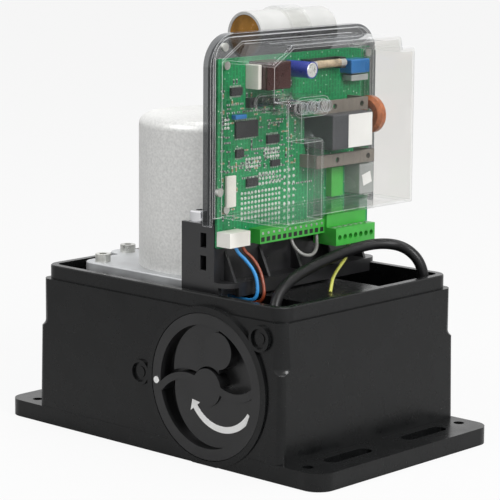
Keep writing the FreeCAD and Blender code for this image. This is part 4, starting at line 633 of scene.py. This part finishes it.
def knob_prints(finish):
    """White turning arrow on the lower land and the pointer dot on the rim."""
    dot = bmesh.new()
    add_disc(dot, (KNOB.x + POINTER_ACROSS, KNOB_FACE, KNOB.z + POINTER_RISE), (0, -1, 0),
             POINTER_RADIUS, POINTER_DEPTH, 32)
    piece("pointer_dot", dot, finish["white_print"], "knob", 0)
    arrow = bmesh.new()

    def corner(reach, degrees):
        angle = math.radians(degrees)
        return arrow.verts.new((KNOB.x + ARROW_CENTRE[0] + reach * math.cos(angle),
                                KNOB_FACE + LAND_DEPTH - ARROW_DEPTH,
                                KNOB.z + ARROW_CENTRE[1] + reach * math.sin(angle)))

    outer, inner = [], []
    for step in range(ARROW_STEPS + 1):
        angle = ARROW_START + (ARROW_END - ARROW_START) * step / ARROW_STEPS
        outer.append(corner(ARROW_RADIUS + ARROW_HALF_WIDTH, angle))
        inner.append(corner(ARROW_RADIUS - ARROW_HALF_WIDTH, angle))
    for step in range(ARROW_STEPS):
        arrow.faces.new((outer[step], outer[step + 1], inner[step + 1], inner[step]))
    arrow.faces.new((corner(ARROW_RADIUS + HEAD_HALF_WIDTH, ARROW_END),
                     corner(ARROW_RADIUS - HEAD_HALF_WIDTH, ARROW_END),
                     corner(ARROW_RADIUS, ARROW_END - HEAD_ANGLE)))
    thick = bmesh.ops.extrude_face_region(arrow, geom=list(arrow.faces))
    moved = [item for item in thick["geom"] if isinstance(item, bmesh.types.BMVert)]
    bmesh.ops.translate(arrow, vec=(0, ARROW_DEPTH, 0), verts=moved)
    piece("turning_arrow", arrow, finish["white_print"], "knob", 0)


# ---------------------------------------------------------------- floor, backdrop and light
FLOOR_SIZE, FLOOR_GREY, FLOOR_ROUGHNESS, FLOOR_SPECULAR = 60, (0.5, 0.5, 0.5, 1), 0.9, 0.1
FLOOR_WHITE_SHARE = 0.9  # share of the floor that is plain white to the camera
WORLD_DIM, WORLD_BRIGHT = 0.28, 1.0
LAMP_TARGET = (0, 0, 0.12)
LAMPS = {
    # name: place, width, height, watts
    "key_softbox": ((-0.5, -1.6, 1.5), 0.8, 0.8, 16),
    "right_softbox": ((1.7, -0.2, 1.1), 0.5, 1.1, 37),
    "top_softbox": ((0.1, 0.3, 1.8), 1.0, 1.0, 20),
}


def camera_or(tree, ray):
    """1 for camera rays and one other kind of ray, 0 for the rest."""
    path = tree.nodes.new("ShaderNodeLightPath")
    either = tree.nodes.new("ShaderNodeMath")
    either.operation = "MAXIMUM"
    link(tree, path, "Is Camera Ray", either, 0)
    link(tree, path, ray, either, 1)
    return either


def studio():
    bpy.ops.mesh.primitive_plane_add(size=FLOOR_SIZE, location=(0, 0, 0))
    floor = bpy.context.object
    floor.name = "studio_floor"
    material = bpy.data.materials.new("studio_white")
    material.use_nodes = True
    tree = material.node_tree
    matt = tree.nodes["Principled BSDF"]
    matt.inputs["Base Color"].default_value = FLOOR_GREY
    matt.inputs["Roughness"].default_value = FLOOR_ROUGHNESS
    matt.inputs["Specular IOR Level"].default_value = FLOOR_SPECULAR
    white = tree.nodes.new("ShaderNodeEmission")
    share = tree.nodes.new("ShaderNodeMath")
    share.operation = "MULTIPLY"
    share.inputs[1].default_value = FLOOR_WHITE_SHARE
    link(tree, camera_or(tree, "Is Transmission Ray"), "Value", share, 0)
    mixed = tree.nodes.new("ShaderNodeMixShader")
    link(tree, share, "Value", mixed, "Fac")
    tree.links.new(matt.outputs[0], mixed.inputs[1])
    tree.links.new(white.outputs[0], mixed.inputs[2])
    tree.links.new(mixed.outputs[0], tree.nodes["Material Output"].inputs["Surface"])
    floor.data.materials.append(material)


def lamp(name, place, width, height, power):
    data = bpy.data.lights.new(name, "AREA")
    data.shape = "RECTANGLE"
    data.size, data.size_y = width, height
    data.energy = power
    obj = bpy.data.objects.new(name, data)
    bpy.context.scene.collection.objects.link(obj)
    obj.location = place
    obj.rotation_mode = "QUATERNION"
    obj.rotation_quaternion = (Vector(LAMP_TARGET) - Vector(place)).to_track_quat("-Z", "Y")


def lights():
    world = bpy.data.worlds.new("studio")
    bpy.context.scene.world = world
    world.use_nodes = True
    background = world.node_tree.nodes["Background"]
    background.inputs["Color"].default_value = (1, 1, 1, 1)
    tree = world.node_tree
    strength = tree.nodes.new("ShaderNodeMapRange")
    strength.inputs["To Min"].default_value = WORLD_DIM
    strength.inputs["To Max"].default_value = WORLD_BRIGHT
    link(tree, camera_or(tree, "Is Glossy Ray"), "Value", strength, "Value")
    link(tree, strength, "Result", background, "Strength")
    for name, (place, width, height, power) in LAMPS.items():
        lamp(name, place, width, height, power)


# ---------------------------------------------------------------- everything in order
finishes = materials()
camera()
cords(finishes)
dress_frame(finishes)
chips(finishes)
small_parts(finishes)
scattered_parts(finishes)
solder_field(finishes)
loose_parts(finishes)
fuse_caps(finishes)
electrolytic(finishes)
terminals(finishes)
knob_prints(finishes)
studio()
lights()
bpy.context.scene.view_settings.view_transform = "Standard"
